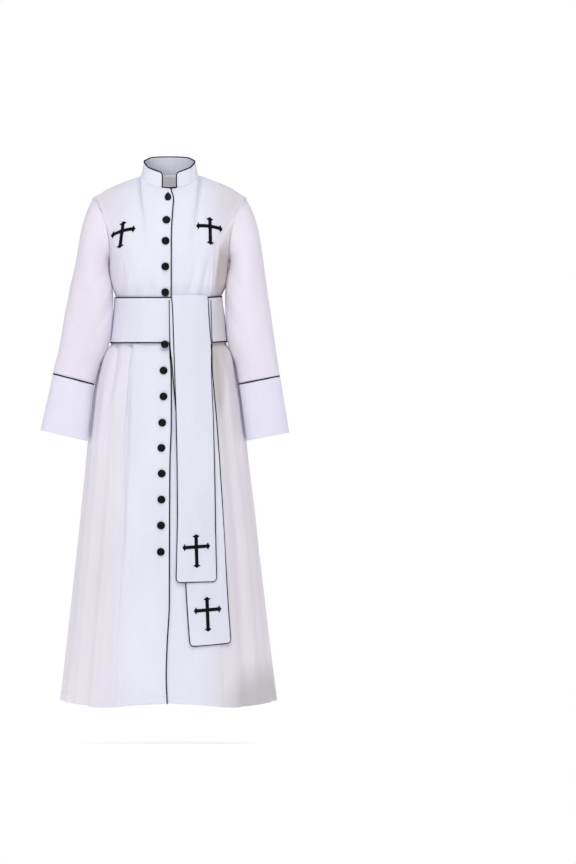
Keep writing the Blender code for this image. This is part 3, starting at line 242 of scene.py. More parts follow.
# Lengthwise creases of the belt: angle, reach, height, half width, slope
BELT_CREASES = [
    (-60, 40, -0.9, 4, 0.05), (-20, 36, 0.6, 5, -0.04), (-88, 20, -1.0, 4, 0.10), (70, 18, 0.9, 5, 0.12),
    (85, 16, -0.9, 4, -0.1), (160, 60, -0.7, 5, 0.03), (-150, 50, 0.6, 6, -0.05),
]
# Drag folds of the collar on the wearer's left, towards the shoulder: angle, slant, half width, height
COLLAR_CREASES = [
    (62, 0.25, 5.0, -1.5), (69, 0.3, 4.0, 1.2), (78, 0.35, 5.0, -1.6), (88, 0.3, 5.0, 1.0),
    (50, 0.2, 5.0, 0.7),
]
# Creases of the falls, as those of the front
FALL_CREASES = {
    "front": [(24, -505, 84, -455, 7, 0.9, 3, 1.8), (30, -540, 96, -480, 7, -0.8, 3, 1.8),
              (40, -640, 104, -585, 8, 0.8, 3, 1.9), (34, -780, 96, -690, 9, -0.8, 3, 1.9),
              (62, -900, 118, -842, 7, 1.0, -3, 1.7), (50, -880, 112, -820, 8, -0.7, -3, 1.8),
              (88, -1000, 116, -930, 7, 0.9, 3, 1.8), (58, -1010, 62, -1048, 6, -0.7, 0, 1.8)],
    "under": [(112, -1060, 146, -1090, 7, 0.7, 0, 1.8), (70, -1180, 130, -1150, 8, -0.6, 3, 1.8)],
}
FALL_CREASE_GAIN = 1.8
# Slow waves of all the cloth: length across, length along, height
WAVES = [(61, 190, 0.30), (97, 260, 0.40), (38, 120, 0.16), (143, 410, 0.40), (27, 75, 0.09)]
# A button's profile. Each row: share of the radius, height over the cloth
BUTTON_PROFILE = [
    (0.70, 0.0), (0.88, 0.2), (0.965, 0.8), (1.0, 1.6), (0.985, 2.5), (0.93, 3.4), (0.86, 3.9), (0.78, 4.15),
    (0.70, 4.0), (0.64, 3.5), (0.59, 3.0), (0.53, 2.85), (0.46, 2.95), (0.40, 3.25), (0.30, 3.5), (0.16, 3.6),
]
# Soft creases of a sleeve: turn and height at both ends, half width, height, sharpness
SLEEVE_CREASES = [
    (150, -235, 60, -330, 9, -2.2, 1.7),
    (168, -262, 95, -372, 9, 2.0, 1.7),
    (172, -300, 100, -430, 8, -1.8, 1.7),
    (30, -180, 70, -330, 14, -1.2, 2.0),
    (20, -330, 90, -440, 10, -1.5, 1.8),
    (40, -360, 150, -450, 8, 1.5, 1.7),
    (60, -440, 160, -500, 7, -1.6, 1.7),
    (10, -430, 80, -515, 8, 1.2, 1.8),
    (215, -245, 300, -330, 10, -2.0, 1.8),
    (200, -300, 290, -400, 9, 1.8, 1.8),
    (205, -380, 300, -470, 8, -1.8, 1.7),
    (220, -430, 330, -515, 8, 1.4, 1.8),
    (330, -180, 300, -340, 14, -1.2, 2.0),
    (0, -240, 350, -480, 14, 0.9, 2.0),
]


def hermite(start, end, start_slope, end_slope, t):
    return (start * (1 + 2 * t) * (1 - t) ** 2 + end * t * t * (3 - 2 * t)
            + start_slope * t * (1 - t) ** 2 + end_slope * t * t * (t - 1))


def ease(t):
    t = np.clip(t, 0.0, 1.0)
    return t * t * (3 - 2 * t)


def unit(vector):
    vector = np.asarray(vector, float)
    return vector / np.maximum(np.linalg.norm(vector, axis=-1, keepdims=True), 1e-9)


def xyz(x, y, z):
    return np.stack(np.broadcast_arrays(x, y, z), axis=-1).astype(float)


class Curve:
    """A smooth line through pairs of (place, value) that never overshoots them."""

    def __init__(self, pairs):
        pairs = sorted(pairs)
        self.place = np.array([pair[0] for pair in pairs], float)
        self.value = np.array([pair[1] for pair in pairs], float)
        rise = np.diff(self.value) / np.diff(self.place)
        self.slope = np.zeros(len(pairs))
        self.slope[0], self.slope[-1] = rise[0], rise[-1]
        for i in range(1, len(rise)):
            if rise[i - 1] * rise[i] > 0:
                self.slope[i] = 2 * rise[i - 1] * rise[i] / (rise[i - 1] + rise[i])

    def __call__(self, place):
        place = np.asarray(place, float)
        i = np.clip(np.searchsorted(self.place, place) - 1, 0, len(self.place) - 2)
        span = self.place[i + 1] - self.place[i]
        t = np.clip((place - self.place[i]) / span, 0.0, 1.0)
        return hermite(self.value[i], self.value[i + 1], self.slope[i] * span, self.slope[i + 1] * span, t)


def column_curve(table, column):
    return Curve([(row[0], row[column]) for row in table])


half_width = {RIGHT: column_curve(SECTIONS, 1), LEFT: column_curve(SECTIONS, 2)}
front_depth = column_curve(SECTIONS, 3)
back_depth = column_curve(SECTIONS, 4)
middle_y = column_curve(SECTIONS, 5)
hem_drop = Curve(HEM_DROP)
front_seam = Curve(FRONT_SEAM)
back_seam = Curve(BACK_SEAM)
front_edge = Curve(FRONT_EDGE)
neck_height = Curve(NECK_HEIGHT)
collar_top = Curve(COLLAR_TOP)
button_setback = Curve(BUTTON_SETBACK)
sleeve_curves = {side: [column_curve(SLEEVES[side], k) for k in range(1, 6)] for side in (RIGHT, LEFT)}


# The body wall


def fold_depth(angle, z):
    grow = ease((WAIST - z) / 70) * (0.35 + 0.65 * (WAIST - z) / (WAIST - HEM))
    depth = np.zeros(np.broadcast(angle, z).shape)
    for middle, spread, full in FOLDS:
        away = np.abs((angle - middle + 180) % 360 - 180) / spread
        depth += np.where(away < 1, full * 0.5 * (1 + np.cos(np.pi * np.minimum(away, 1))), 0)
    return depth * grow


def fine_fold(angle, z):
    """Smaller folds, laid over the wall along its normal."""
    grow = ease((WAIST - 10 - z) / 120) * (0.45 + 0.55 * (WAIST - z) / (WAIST - HEM))
    height = np.zeros(np.broadcast(angle, z).shape)
    for middle, spread, full in FINE_FOLDS:
        wander = 1.6 * np.sin(z / 170.0 + middle)
        away = ((angle - middle - wander + 180) % 360 - 180) / spread
        height -= full * np.exp(-(away / 0.62) ** 2)
    return height * grow


def ring_point(angle, z):
    angle, z = np.broadcast_arrays(np.asarray(angle, float), np.asarray(z, float))
    s, c = np.sin(np.radians(angle)), np.cos(np.radians(angle))
    width = np.where(s > 0, half_width[LEFT](z), half_width[RIGHT](z))
    depth = np.where(c < 0, back_depth(z) - middle_y(z), front_depth(z) + middle_y(z))
    radius = ((np.abs(s) / width) ** SQUARENESS + (np.abs(c) / depth) ** SQUARENESS) ** (-1 / SQUARENESS)
    radius = radius - fold_depth(angle, z)
    share = np.maximum((WAIST - z) / (WAIST - HEM), 0.0)
    turn = np.abs((angle + 180) % 360 - 180)
    return xyz(radius * s, middle_y(z) - radius * c, z + hem_drop(turn) * share ** 2)


def angle_of(x, z, back=False):
    x, z = np.broadcast_arrays(np.asarray(x, float), np.asarray(z, float))
    width = np.where(x > 0, half_width[LEFT](z), half_width[RIGHT](z))
    depth = back_depth(z) - middle_y(z) if back else front_depth(z) + middle_y(z)
    share = np.minimum(np.abs(x) / width, 0.999)
    y = depth * (1 - share ** SQUARENESS) ** (1 / SQUARENESS)
    return np.copysign(np.degrees(np.arctan2(np.abs(x), -y if back else y)), x)


def neck_point(angle):
    a = np.radians(angle)
    return xyz(NECK_HALF_WIDTH * np.sin(a), NECK_MIDDLE - NECK_HALF_DEPTH * np.cos(a),
               neck_height(np.abs(angle)))


def armhole_point(side, turn, back):
    down = (1 - np.cos(np.radians(turn))) / 2
    z = SHOULDER_TIP[2] + (UNDERARM[2] - SHOULDER_TIP[2]) * down
    x = UNDERARM[0] + (SHOULDER_TIP[0] - UNDERARM[0]) * (1 - down) ** ARMHOLE_CURVE
    reach = ARMHOLE_REACH * np.sin(np.radians(turn))
    y = SHOULDER_TIP[1] + (UNDERARM[1] - SHOULDER_TIP[1]) * down + np.where(back, reach, -reach)
    return xyz(side * x, y, z)


def top_edge(side, u, back, neck_start):
    """The top edge of a centre panel at share u: the point, the way the cloth meets it, and how straight."""
    facing = -1.0 if back else 1.0
    neck, shoulder, armhole = BACK_SHARES if back else FRONT_SHARES
    at = u * (neck + shoulder + armhole)
    over = unit([0.0, facing * 0.9, 0.45])
    if at <= neck:
        t = at / neck
        angle = neck_start + (side * NECK_POINT_ANGLE - neck_start) * t
        rise = unit([0.0, facing * NECK_LEAN, 0.8])
        return neck_point(angle), unit(rise * (1 - t) + over * t), 0.0
    if at <= neck + shoulder:
        t = (at - neck) / shoulder
        start = neck_point(side * NECK_POINT_ANGLE)
        tip = SHOULDER_TIP * np.array([side, 1, 1])
        crown = np.array([0.0, 0.0, 2.0 * math.sin(math.pi * t)])
        return start + (tip - start) * t + crown, over, 0.55 * t * t
    t = (at - neck - shoulder) / armhole
    return armhole_point(side, 90 * t, back), over, min(0.55 + 1.2 * t, 1.0)


def side_top(side, u, back):
    return armhole_point(side, 90 + 90 * u, back), np.zeros(3), 1.0


def spaced(start, end, step):
    count = max(int(math.ceil(abs(end - start) / step)), 1)
    return list(np.linspace(start, end, count + 1)[:-1])


LOWER = np.array(spaced(HEM, -1340, 4.5) + spaced(-1340, -470, 6.2) + spaced(-470, WAIST_SEAM, 4.5)
                 + spaced(WAIST_SEAM, CHEST, 4.5) + [CHEST])
SEAM_ROW = list(LOWER).index(WAIST_SEAM)
UPPER = np.linspace(0, 1, 39)[1:]


def wall_grid(angles, tops):
    """Rows of points from the hem to the top edge. angles holds one row for each height in LOWER."""
    lower = ring_point(angles, LOWER[:, None])
    top = np.array([point for point, _, _ in tops])
    way = np.array([way for _, way, _ in tops])
    straight = np.array([[value] for _, _, value in tops])
    start = lower[-1]
    below = ring_point(angles[-1], CHEST - 40)
    length = np.linalg.norm(top - start, axis=-1, keepdims=True)
    tangent = unit(way * (1 - straight) + (top - start) / length * straight)
    upper = hermite(start, top, unit(start - below) * length, tangent * length * 0.9, UPPER[:, None, None])
    return np.concatenate([lower, upper])


def seam_shares(width, step, at_start=True, at_end=True):
    """Shares across a panel, closer together beside its seams."""
    near = [0.0, 1.0, 2.1, 3.4, 5.2, 8.0]
    inner = list(np.linspace(near[-1] if at_start else 0.0, width - (near[-1] if at_end else 0.0),
                             max(int(width / step), 4)))
    places = near[:-1] if at_start else []
    places = places + inner + ([width - n for n in reversed(near[:-1])] if at_end else [])
    return np.array(places) / width


def column_outward(columns):
    """Outward normals of columns near the front middle. columns has one row for each height."""
    along = np.gradient(columns, axis=0)
    across = unit(xyz(1.0, 0.0025 * columns[..., 0], 0.0))
    return unit(np.cross(across, along))


def lap_columns(offsets, sinks):
    angles = angle_of(front_edge(LOWER)[:, None] + np.array(offsets), LOWER[:, None])
    tops = []
    for offset in offsets:
        neck_angle = math.degrees(math.asin((front_edge(EDGE_TOP) + offset) / NECK_HALF_WIDTH))
        tops.append((neck_point(neck_angle), unit([0.0, NECK_LEAN, 0.8]), 0.0))
    grid = wall_grid(angles, tops)
    raised = grid[..., 2] > CHEST
    grid[..., 0] = np.where(raised, front_edge(grid[..., 2]) + np.array(offsets), grid[..., 0])
    return grid - column_outward(grid) * np.array(sinks)[None, :, None]


def front_centre(side):
    start = -LAP_WIDTH if side == RIGHT else LAP_EASE[1]
    if side == RIGHT:
        offsets = [0.0, -0.8, -1.8, -3.2, -5.2] + spaced(-8.0, -LAP_WIDTH, 4.2)
        sinks = [0.0] * len(offsets)
    else:
        offsets = spaced(-LAP_WIDTH, LAP_EASE[0], 5.0) + spaced(LAP_EASE[0], LAP_EASE[1], 3.2)
        sinks = [LAP_SINK * (1 - ease((o - LAP_EASE[0]) / (LAP_EASE[1] - LAP_EASE[0]))) for o in offsets]
    lap = lap_columns(offsets, sinks)
    shares = seam_shares(120.0, 4.6, at_start=False)
    first = angle_of(front_edge(LOWER) + start, LOWER)[:, None]
    last = angle_of(side * front_seam(LOWER), LOWER)[:, None]
    neck_start = math.degrees(math.asin((front_edge(EDGE_TOP) + start) / NECK_HALF_WIDTH))
    grid = wall_grid(first + (last - first) * shares, [top_edge(side, u, False, neck_start) for u in shares])
    off = np.where(grid[:, :1, 2] > CHEST, front_edge(grid[:, :1, 2]) + start - grid[:, :1, 0], 0.0)
    grid[..., 0] += off * (1 - ease(shares / 0.22))
    return np.concatenate([lap, grid], axis=1)


def back_centre(side):
    shares = seam_shares(120.0, 4.8)
    last = angle_of(side * back_seam(LOWER), LOWER, True)[:, None]
    middle = side * 180.0
    return wall_grid(middle + (last - middle) * shares, [top_edge(side, u, True, middle) for u in shares])


def side_wall(side, back):
    shares = seam_shares(150.0, 4.6)
    seam = back_seam(LOWER) if back else front_seam(LOWER)
    first = angle_of(side * seam, LOWER, back)[:, None]
    return wall_grid(first + (side * 90 - first) * shares, [side_top(side, u, back) for u in shares])


def shoulder_rise(side, grid):
    """The cloth climbs a little from the shoulder towards the neck."""
    x, z = np.abs(grid[..., 0]), grid[..., 2]
    rise = ease((x - 52) / 26) * ease((203 - x) / 50) * ease((z + 80) / 48)
    lifted = grid.copy()
    lifted[..., 2] += rise * (7.5 if side == LEFT else 5.5)
    return lifted


# Relief: seams, creases and small unevenness, all along the normals


def grid_normals(grid, closed, axis):
    """Unit normals of a grid, turned away from an axis given for each of its points."""
    if closed:
        across = np.roll(grid, -1, axis=1) - np.roll(grid, 1, axis=1)
    else:
        across = np.gradient(grid, axis=1)
    normals = unit(np.cross(across, np.gradient(grid, axis=0)))
    return normals if ((grid - axis) * normals).sum() > 0 else -normals


def body_axis(grid):
    z = grid[..., 2]
    return xyz(0.0, 5.0, np.where(z > CHEST, z - 60, z))


def crease(a, z, da, dz, half, height, bow, power, ends):
    """A crease on a flat sheet, whose a and z begin at its start; ends: how fast it rises from them."""
    length = math.hypot(da, dz)
    t = (a * da + z * dz) / length ** 2
    inside = np.clip(t, 0, 1)
    away = (a * dz - z * da) / length - bow * 4 * inside * (1 - inside)
    taper = np.clip(np.sin(np.pi * inside) * ends, 0, 1) * (t > 0) * (t < 1)
    return height * np.exp(-(np.abs(away) / half) ** power) * taper


def crease_height(a, z, creases):
    """Height of creases over a flat sheet of a and z."""
    return sum(crease(a - a0, z - z0, a1 - a0, z1 - z0, half, height, bow, power, 1.5)
               for a0, z0, a1, z1, half, height, bow, power in creases)


def bell(distance, width):
    return np.exp(-(distance / width) ** 2)


def uneven(a, z, seed, size=1.0):
    """Slow waves of the cloth, about a millimetre high."""
    total = np.zeros_like(a)
    for k, (across, along, high) in enumerate(WAVES):
        shift = seed * 1.7 + k * 2.3
        total += high * np.sin(2 * np.pi * (a / across + 0.35 * np.sin(z / (along * 0.8) + shift)) + shift)
        total += 0.5 * high * np.sin(2 * np.pi * (z / along + 0.2 * np.sin(a / 31 + shift)) + 2 * shift)
    return total * size


def arc(grid, axis):
    """Distance along a grid's rows or columns, from its first."""
    steps = np.linalg.norm(np.diff(grid, axis=axis), axis=-1)
    pad = [(0, 0), (0, 0)]
    pad[axis] = (1, 0)
    return np.pad(np.cumsum(steps, axis=axis), pad)


def seam_relief(distance, along, seed):
    """A seam seen from outside: a fine groove, cloth that swells beside it and slight puckers."""
    groove = -0.75 * bell(distance, 1.5)
    swell = 0.28 * bell(distance - 6.0, 3.6)
    pucker = 0.30 * np.sin(along / 4.1 + 1.7 * np.sin(along / 37.0 + seed)) * np.exp(-distance / 7.0)
    return groove + swell + pucker * (0.5 + 0.5 * np.sin(along / 61.0 + seed * 2))


def dress_panel(grid, back, seed, seams):
    """Adds relief to a panel. seams names its sewn sides: first, last (columns), top (last row)."""
    normals = grid_normals(grid, False, body_axis(grid))
    across, along = arc(grid, 1), arc(grid, 0)
    z = grid[..., 2]
    lift = crease_height(grid[..., 0], z, BACK_CREASES if back else FRONT_CREASES)
    # The creases are drawn face on, so they fade where the wall turns to the side
    lift = lift * np.clip(1.3 * np.abs(normals[..., 1]), 0, 1)
    angle = np.degrees(np.arctan2(grid[..., 0], -(grid[..., 1] - middle_y(z))))
    lift = lift + fine_fold(angle, z) * (z < WAIST)
    calm = 0.35 + 0.65 * ease((WAIST - z) / 200)
    lift = lift + uneven(angle * 3.0, z, 0.0) * calm
    # At the sides the cloth swells out to the sleeves, above and below the belt, and to the left cuff
    flank = ease((np.abs(angle) - 62) / 20) * ease((125 - np.abs(angle)) / 20)
    lift = lift + flank * (3.0 * bell(z + 262, 50) + 4.0 * bell(z + 462, 32)
                           + 5.0 * (angle > 0) * bell(z + 630, 75))
    if "first" in seams:
        lift = lift + seam_relief(across, along, seed)
    if "last" in seams:
        lift = lift + seam_relief(across[:, -1:] - across, along, seed + 1)
    if "top" in seams:
        # The seam is plain at the armhole and lies hidden under the collar's foot
        at_neck = ease((100 - np.abs(grid[-1:, :, 0])) / 30)
        lift = lift + seam_relief(along[-1:, :] - along, across, seed + 2) * (0.35 - 0.25 * at_neck)
    # Below the belt and the falls the cloth stays where the frame has it
    lift = lift * (1 - ease((z + 326) / -6) * ease((z + 426) / 6))
    # Turned hem: a line of stitches draws the cloth in
    lift = lift - 0.9 * bell(along - HEM_STITCH, 1.9) + 0.35 * ease((HEM_STITCH - along) / 3.0)
    return grid + normals * lift[..., None], normals


def tucked(grid, normals, sides):
    """Folds the sewn sides of a panel inward, as seam allowances lie."""
    for side in sides:
        # The sewn side is turned to be the last row, and back again
        columns, backward = side in ("first", "last"), side in ("first", "bottom")
        if columns:
            grid, normals = grid.swapaxes(0, 1), normals.swapaxes(0, 1)
        if backward:
            grid, normals = grid[::-1], normals[::-1]
        way = unit(grid[-1] - grid[-2])
        edge = grid[-1] + way * 0.15 - normals[-1] * 0.9
        inner = edge - normals[-1] * TUCK + way * 0.5
        grid = np.concatenate([grid, edge[None], inner[None]])
        normals = np.concatenate([normals, normals[-1:], normals[-1:]])
        if backward:
            grid, normals = grid[::-1], normals[::-1]
        if columns:
            grid, normals = grid.swapaxes(0, 1), normals.swapaxes(0, 1)
    return grid, normals


# Meshes


def grid_object(name, grid, closed, outward, thickness=None):
    """A grid as a mesh with UVs in metres of cloth, and a thin shell inward from it."""
    rows, count = grid.shape[:2]
    spans = count if closed else count - 1
    r, c = np.meshgrid(np.arange(rows - 1), np.arange(spans), indexing="ij")
    d = (c + 1) % count
    here, above = r * count, (r + 1) * count
    quads = np.stack([here + c, here + d, above + d, above + c], -1).reshape(-1, 4)
    extended = np.concatenate([grid, grid[:, :1]], axis=1) if closed else grid
    u, v = arc(extended, 1), arc(extended, 0)
    corner = [(r, c), (r, c + 1), (r + 1, c + 1), (r + 1, c)]
    uv = np.stack([np.stack([u[a, b], v[a, b]], -1) for a, b in corner], 2).reshape(-1, 4, 2)
    flat = grid.reshape(-1, 3)
    face_normals = np.cross(flat[quads[:, 2]] - flat[quads[:, 0]], flat[quads[:, 3]] - flat[quads[:, 1]])
    if (face_normals * outward.reshape(-1, 3)[quads[:, 0]]).sum() < 0:
        quads, uv = quads[:, ::-1], uv[:, ::-1]
    return mesh_object(name, flat, quads, uv, thickness)


def mesh_object(name, points, faces, uv=None, thickness=None):
    mesh = bpy.data.meshes.new(name)
    mesh.from_pydata((np.asarray(points) * MM).tolist(), [], [tuple(map(int, face)) for face in faces])
    if uv is not None:
        layer = mesh.uv_layers.new(name="cloth")
        layer.data.foreach_set("uv", (uv.reshape(-1, 2) * MM).ravel())
    mesh.update()
    mesh.shade_smooth()
    piece = bpy.data.objects.new(name, mesh)
    bpy.context.scene.collection.objects.link(piece)
    if thickness:
        shell = piece.modifiers.new("shell", "SOLIDIFY")
        shell.thickness = thickness * MM
        shell.offset = -1.0
        shell.use_even_offset = False
    return piece


def finish_piece(piece, nodes, material):
    piece.data.materials.append(material)
    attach(piece, "root")
    if nodes:
        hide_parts(*([nodes] if isinstance(nodes, str) else nodes))
    return piece


def tube(path, radius, closed, sides):
    """Points and faces of a round cord along a path, with rounded ends where it is open."""
    path = np.array(path, float)
    radii = np.full(len(path), float(radius))
    if not closed:
        head, tail = unit(path[0] - path[1]), unit(path[-1] - path[-2])
        caps = [(0.95, 0.25), (0.75, 0.66), (0.4, 0.92)]
        path = np.concatenate([[path[0] + head * radius * k for k, _ in caps], path,
                               [path[-1] + tail * radius * k for k, _ in reversed(caps)]])
        ends = [radius * r for _, r in caps]
        radii = np.concatenate([ends, radii, ends[::-1]])
    count = len(path)
    if closed:
        along = unit(np.roll(path, -1, axis=0) - np.roll(path, 1, axis=0))
    else:
        along = unit(np.gradient(path, axis=0))
    side_way = unit(np.cross(along[0], [0.31, 0.83, 0.46]))
    frames = []
    for direction in along:
        side_way = unit(side_way - direction * np.dot(side_way, direction))
        frames.append((side_way, np.cross(direction, side_way)))
    twist = 0.0
    if closed:
        carried = unit(frames[-1][0] - along[0] * np.dot(frames[-1][0], along[0]))
        twist = math.atan2(np.dot(carried, frames[0][1]), np.dot(carried, frames[0][0]))
    a = 2 * np.pi * np.arange(sides) / sides
    points = []
    for k in range(count):
        turn = a - twist * k / count
        ring = np.cos(turn)[:, None] * frames[k][0] + np.sin(turn)[:, None] * frames[k][1]
        points.append(path[k] + radii[k] * ring)
    faces = []
    for k in range(count if closed else count - 1):
        for s in range(sides):
            here, there = k * sides, ((k + 1) % count) * sides
            following = (s + 1) % sides
            faces.append((here + s, here + following, there + following, there + s))
    if not closed:
        faces.append(tuple(reversed(range(sides))))
        faces.append(tuple((count - 1) * sides + s for s in range(sides)))
    return np.concatenate(points), faces


def even_path(path, closed, step):
    """The same line with points at even distances."""
    path = np.array(path, float)
    if closed:
        path = np.concatenate([path, path[:1]])
    length = np.concatenate([[0], np.cumsum(np.linalg.norm(np.diff(path, axis=0), axis=1))])
    count = max(int(length[-1] / step), 4)
    wanted = np.linspace(0, length[-1], count + 1)
    if closed:
        wanted = wanted[:-1]
    return np.stack([np.interp(wanted, length, path[:, k]) for k in range(3)], -1)


def softened(path, closed, times=2):
    """Rounds the corners of a path."""
    for _ in range(times):
        if closed:
            path = (np.roll(path, 1, axis=0) + 2 * path + np.roll(path, -1, axis=0)) / 4
        else:
            middle = (path[:-2] + 2 * path[1:-1] + path[2:]) / 4
            path = np.concatenate([path[:1], middle, path[-1:]])
    return path


def make_cord(name, path, closed, radius=PIPING, sides=10):
    points, faces = tube(path, radius, closed, sides)
    finish_piece(mesh_object(f"{name}_cord", points, faces), name, cord)


# Materials


def set_values(made, values):
    """Sets inputs by their names, with underscores for spaces."""
    for key, value in values.items():
        made.inputs[key.replace("_", " ")].default_value = value


def make_material(name, colour, roughness, **values):
    material = bpy.data.materials.new(name)
    material.use_nodes = True
    shader = material.node_tree.nodes["Principled BSDF"]
    set_values(shader, {"Base_Color": (*colour, 1.0), "Roughness": roughness, **values})
    material.diffuse_color = (*colour, 1.0)
    return material, shader


def node(material, kind, attributes=None, links=None, **values):
    """A node's outputs. It gets attributes, links to its inputs and values for the rest of them."""
    made = material.node_tree.nodes.new("ShaderNode" + kind)
    for key, value in (attributes or {}).items():
        setattr(made, key, value)
    set_values(made, values)
    for key, socket in (links or {}).items():
        material.node_tree.links.new(socket, made.inputs[key])
    return made.outputs


def mixed(material, factor, first, second, kind):
    """The output of a colour mix. first and second are colours or sockets; no factor means all of it."""
    mix = material.node_tree.nodes.new("ShaderNodeMix")
    mix.data_type, mix.blend_type = "RGBA", kind
    sockets = [s for s in mix.inputs if s.type == "RGBA"]
    share = next(s for s in mix.inputs if s.type == "VALUE")
    share.default_value = 1.0
    for socket, value in (*zip(sockets, (first, second)), (share, factor)):
        if isinstance(value, tuple):
            socket.default_value = (*value, 1.0)
        elif value is not None:
            material.node_tree.links.new(value, socket)
    return next(s for s in mix.outputs if s.type == "RGBA")


def bump(material, height, strength, distance, **below):
    links = {"Height": height, **below}
    return node(material, "Bump", None, links, Strength=strength, Distance=distance)["Normal"]


def cloth_material(name, middle, right, left, start, reach, painted_shades=(), roughness=0.62):
    """Close twill: fine diagonal ribs, faint mottling and small creases.

    The tint goes from the robe's middle to its right or left side, over a reach that begins at start
    (metres). On the body the darker sides are painted shade; painted_shades are round patches of painted
    shade.
    """
    material, shader = make_material(name, middle, roughness, Sheen_Weight=0.2, Sheen_Roughness=0.45,
                                     Sheen_Tint=(1.0, 0.98, 1.0, 1.0), Specular_IOR_Level=0.35)
    smooth = {"interpolation_type": "SMOOTHSTEP"}
    place = node(material, "TexCoord")
    spot = {"Vector": place["Object"]}
    # Colour: broad clouds, streaked along the warp, over each side's tint and the patches of painted shade
    stretched = node(material, "Mapping", None, spot, Scale=(9.0, 9.0, 3.2))["Vector"]
    clouds = node(material, "TexNoise", None, {"Vector": stretched}, Detail=3.0, Scale=1.0)["Fac"]
    spread = node(material, "MapRange", None, {"Value": clouds}, From_Min=0.35, From_Max=0.65, To_Min=1.0,
                  To_Max=0.955)["Result"]
    x = node(material, "SeparateXYZ", None, spot)["X"]
    base = middle
    for way, colour in ((-1, right), (1, left)):
        share = node(material, "MapRange", smooth, {"Value": x}, From_Min=way * start,
                     From_Max=way * (start + reach))["Result"]
        base = mixed(material, share, base, colour, "MIX")
    # Round patches of painted shade, mixed over the colour
    for middle_at, size, shade, depth in painted_shades:
        patch = node(material, "Mapping", {"vector_type": "TEXTURE"}, spot, Location=middle_at,
                     Scale=size)["Vector"]
        ball = node(material, "TexGradient", {"gradient_type": "SPHERICAL"}, {"Vector": patch})["Fac"]
        near = node(material, "MapRange", smooth, {"Value": ball}, From_Max=0.55, To_Max=depth)["Result"]
        base = mixed(material, near, base, shade, "MIX")
    base = mixed(material, None, base, spread, "MULTIPLY")
    # Relief: twill ribs on the cloth's own grain, then small creases
    ribs = node(material, "TexWave", {"wave_type": "BANDS", "bands_direction": "DIAGONAL"},
                {"Vector": place["UV"]}, Scale=420.0, Distortion=0.6)["Fac"]
    small = node(material, "TexNoise", None, spot, Scale=34.0, Detail=4.0, Roughness=0.55)["Fac"]
    normal = bump(material, small, 0.55, 0.0011, Normal=bump(material, ribs, 0.5, 0.00006))
    material.node_tree.links.new(base, shader.inputs["Base Color"])
    material.node_tree.links.new(normal, shader.inputs["Normal"])
    return material


def black_material(name):
    """Black with a fine pattern, which sets its relief and its roughness."""
    colour, roughness, gloss, (kind, attributes, space, values), relief, reach, rough = BLACKS[name]
    material, shader = make_material(name, colour, roughness, Specular_IOR_Level=gloss)
    place = node(material, "TexCoord")[space]
    pattern = node(material, kind, attributes, {"Vector": place}, **values)["Fac"]
    tone = node(material, "MapRange", None, {"Value": pattern}, From_Min=reach[0], From_Max=reach[1],
                To_Min=rough[0], To_Max=rough[1])["Result"]
    material.node_tree.links.new(bump(material, pattern, *relief), shader.inputs["Normal"])
    material.node_tree.links.new(tone, shader.inputs["Roughness"])
    return material


# Each row: colour, roughness, gloss, pattern (node, attributes, space, inputs), strength and height of
# its relief, range of the pattern and the roughness at the range's ends
BLACKS = {
    # Matt bias cloth over a cord
    "piping": ((0.004, 0.004, 0.005), 0.8, 0.04, ("TexNoise", {}, "Object", {"Scale": 900.0, "Detail": 2.0}),
               (0.5, 0.0002), (0.0, 1.0), (0.65, 0.9)),
    # Satin stitch: fine parallel threads with a soft gloss
    "embroidery": ((0.004, 0.004, 0.005), 0.5, 0.06,
                   ("TexWave", {"wave_type": "BANDS", "bands_direction": "X"}, "UV",
                    {"Scale": 700.0, "Distortion": 1.2, "Detail": 1.0}),
                   (0.7, 0.0002), (0.0, 1.0), (0.34, 0.55)),
    # Satin moulded button with light scuffs over it
    "button": ((0.002, 0.002, 0.003), 0.45, 0.14, ("TexNoise", {}, "Object", {"Scale": 380.0, "Detail": 5.0}),
               (0.25, 0.0001), (0.35, 0.7), (0.4, 0.62)),
}
# Painted shade: the sides are painted darker and pinker than the bluish middle, most on the wearer's left
BLUISH = (0.770, 0.775, 0.880)
PINK_SHADE, LEFT_PINK_SHADE = (0.760, 0.730, 0.805), (0.745, 0.710, 0.770)
LAVENDER, CUFF_BLUE = (0.790, 0.750, 0.840), (0.775, 0.765, 0.890)
# The facing is painted grey: painted shade inside the neck
BAND, FACING_SHADE = (0.755, 0.760, 0.865), (0.700, 0.690, 0.720)

# Painted shade: soft grey patches where the cloth lies in shade on the wearer's left, at the waist, on the
# belt and at the hem: middle, reach (both in metres), colour, strength
PAINTED_SHADE = [((0.140, -0.04, -0.262), (0.030, 0.2, 0.11), (0.560, 0.500, 0.490), 0.9),
          ((0.128, -0.06, -0.50), (0.026, 0.2, 0.17), (0.580, 0.530, 0.520), 0.75),
          ((0.140, -0.04, -0.375), (0.040, 0.2, 0.10), (0.650, 0.620, 0.630), 0.8),
          ((0.235, 0.0, -1.40), (0.13, 0.4, 0.17), (0.520, 0.500, 0.515), 0.9)]

# The body's cloth carries the painted shade of its sides and the patches of painted shade
body_cloth = cloth_material("cloth_body", BLUISH, PINK_SHADE, LEFT_PINK_SHADE, 0.075, 0.085, PAINTED_SHADE)
sleeve_cloth = cloth_material("cloth_sleeve", LAVENDER, LAVENDER, LAVENDER, 0.1, 0.2)
facing_cloth = cloth_material("cloth_facing", FACING_SHADE, FACING_SHADE, FACING_SHADE, 0.1, 0.2)
cuff_cloth = cloth_material("cloth_cuff", CUFF_BLUE, CUFF_BLUE, CUFF_BLUE, 0.1, 0.2)
# The belt and the falls share one cloth, with a patch of painted shade on the belt at the wearer's left
band_cloth = cloth_material("cloth_band", BAND, BAND, BAND, 0.1, 0.1, PAINTED_SHADE[2:3], roughness=0.5)
cord, thread, button_black = (black_material(name) for name in ("piping", "embroidery", "button"))


# Body


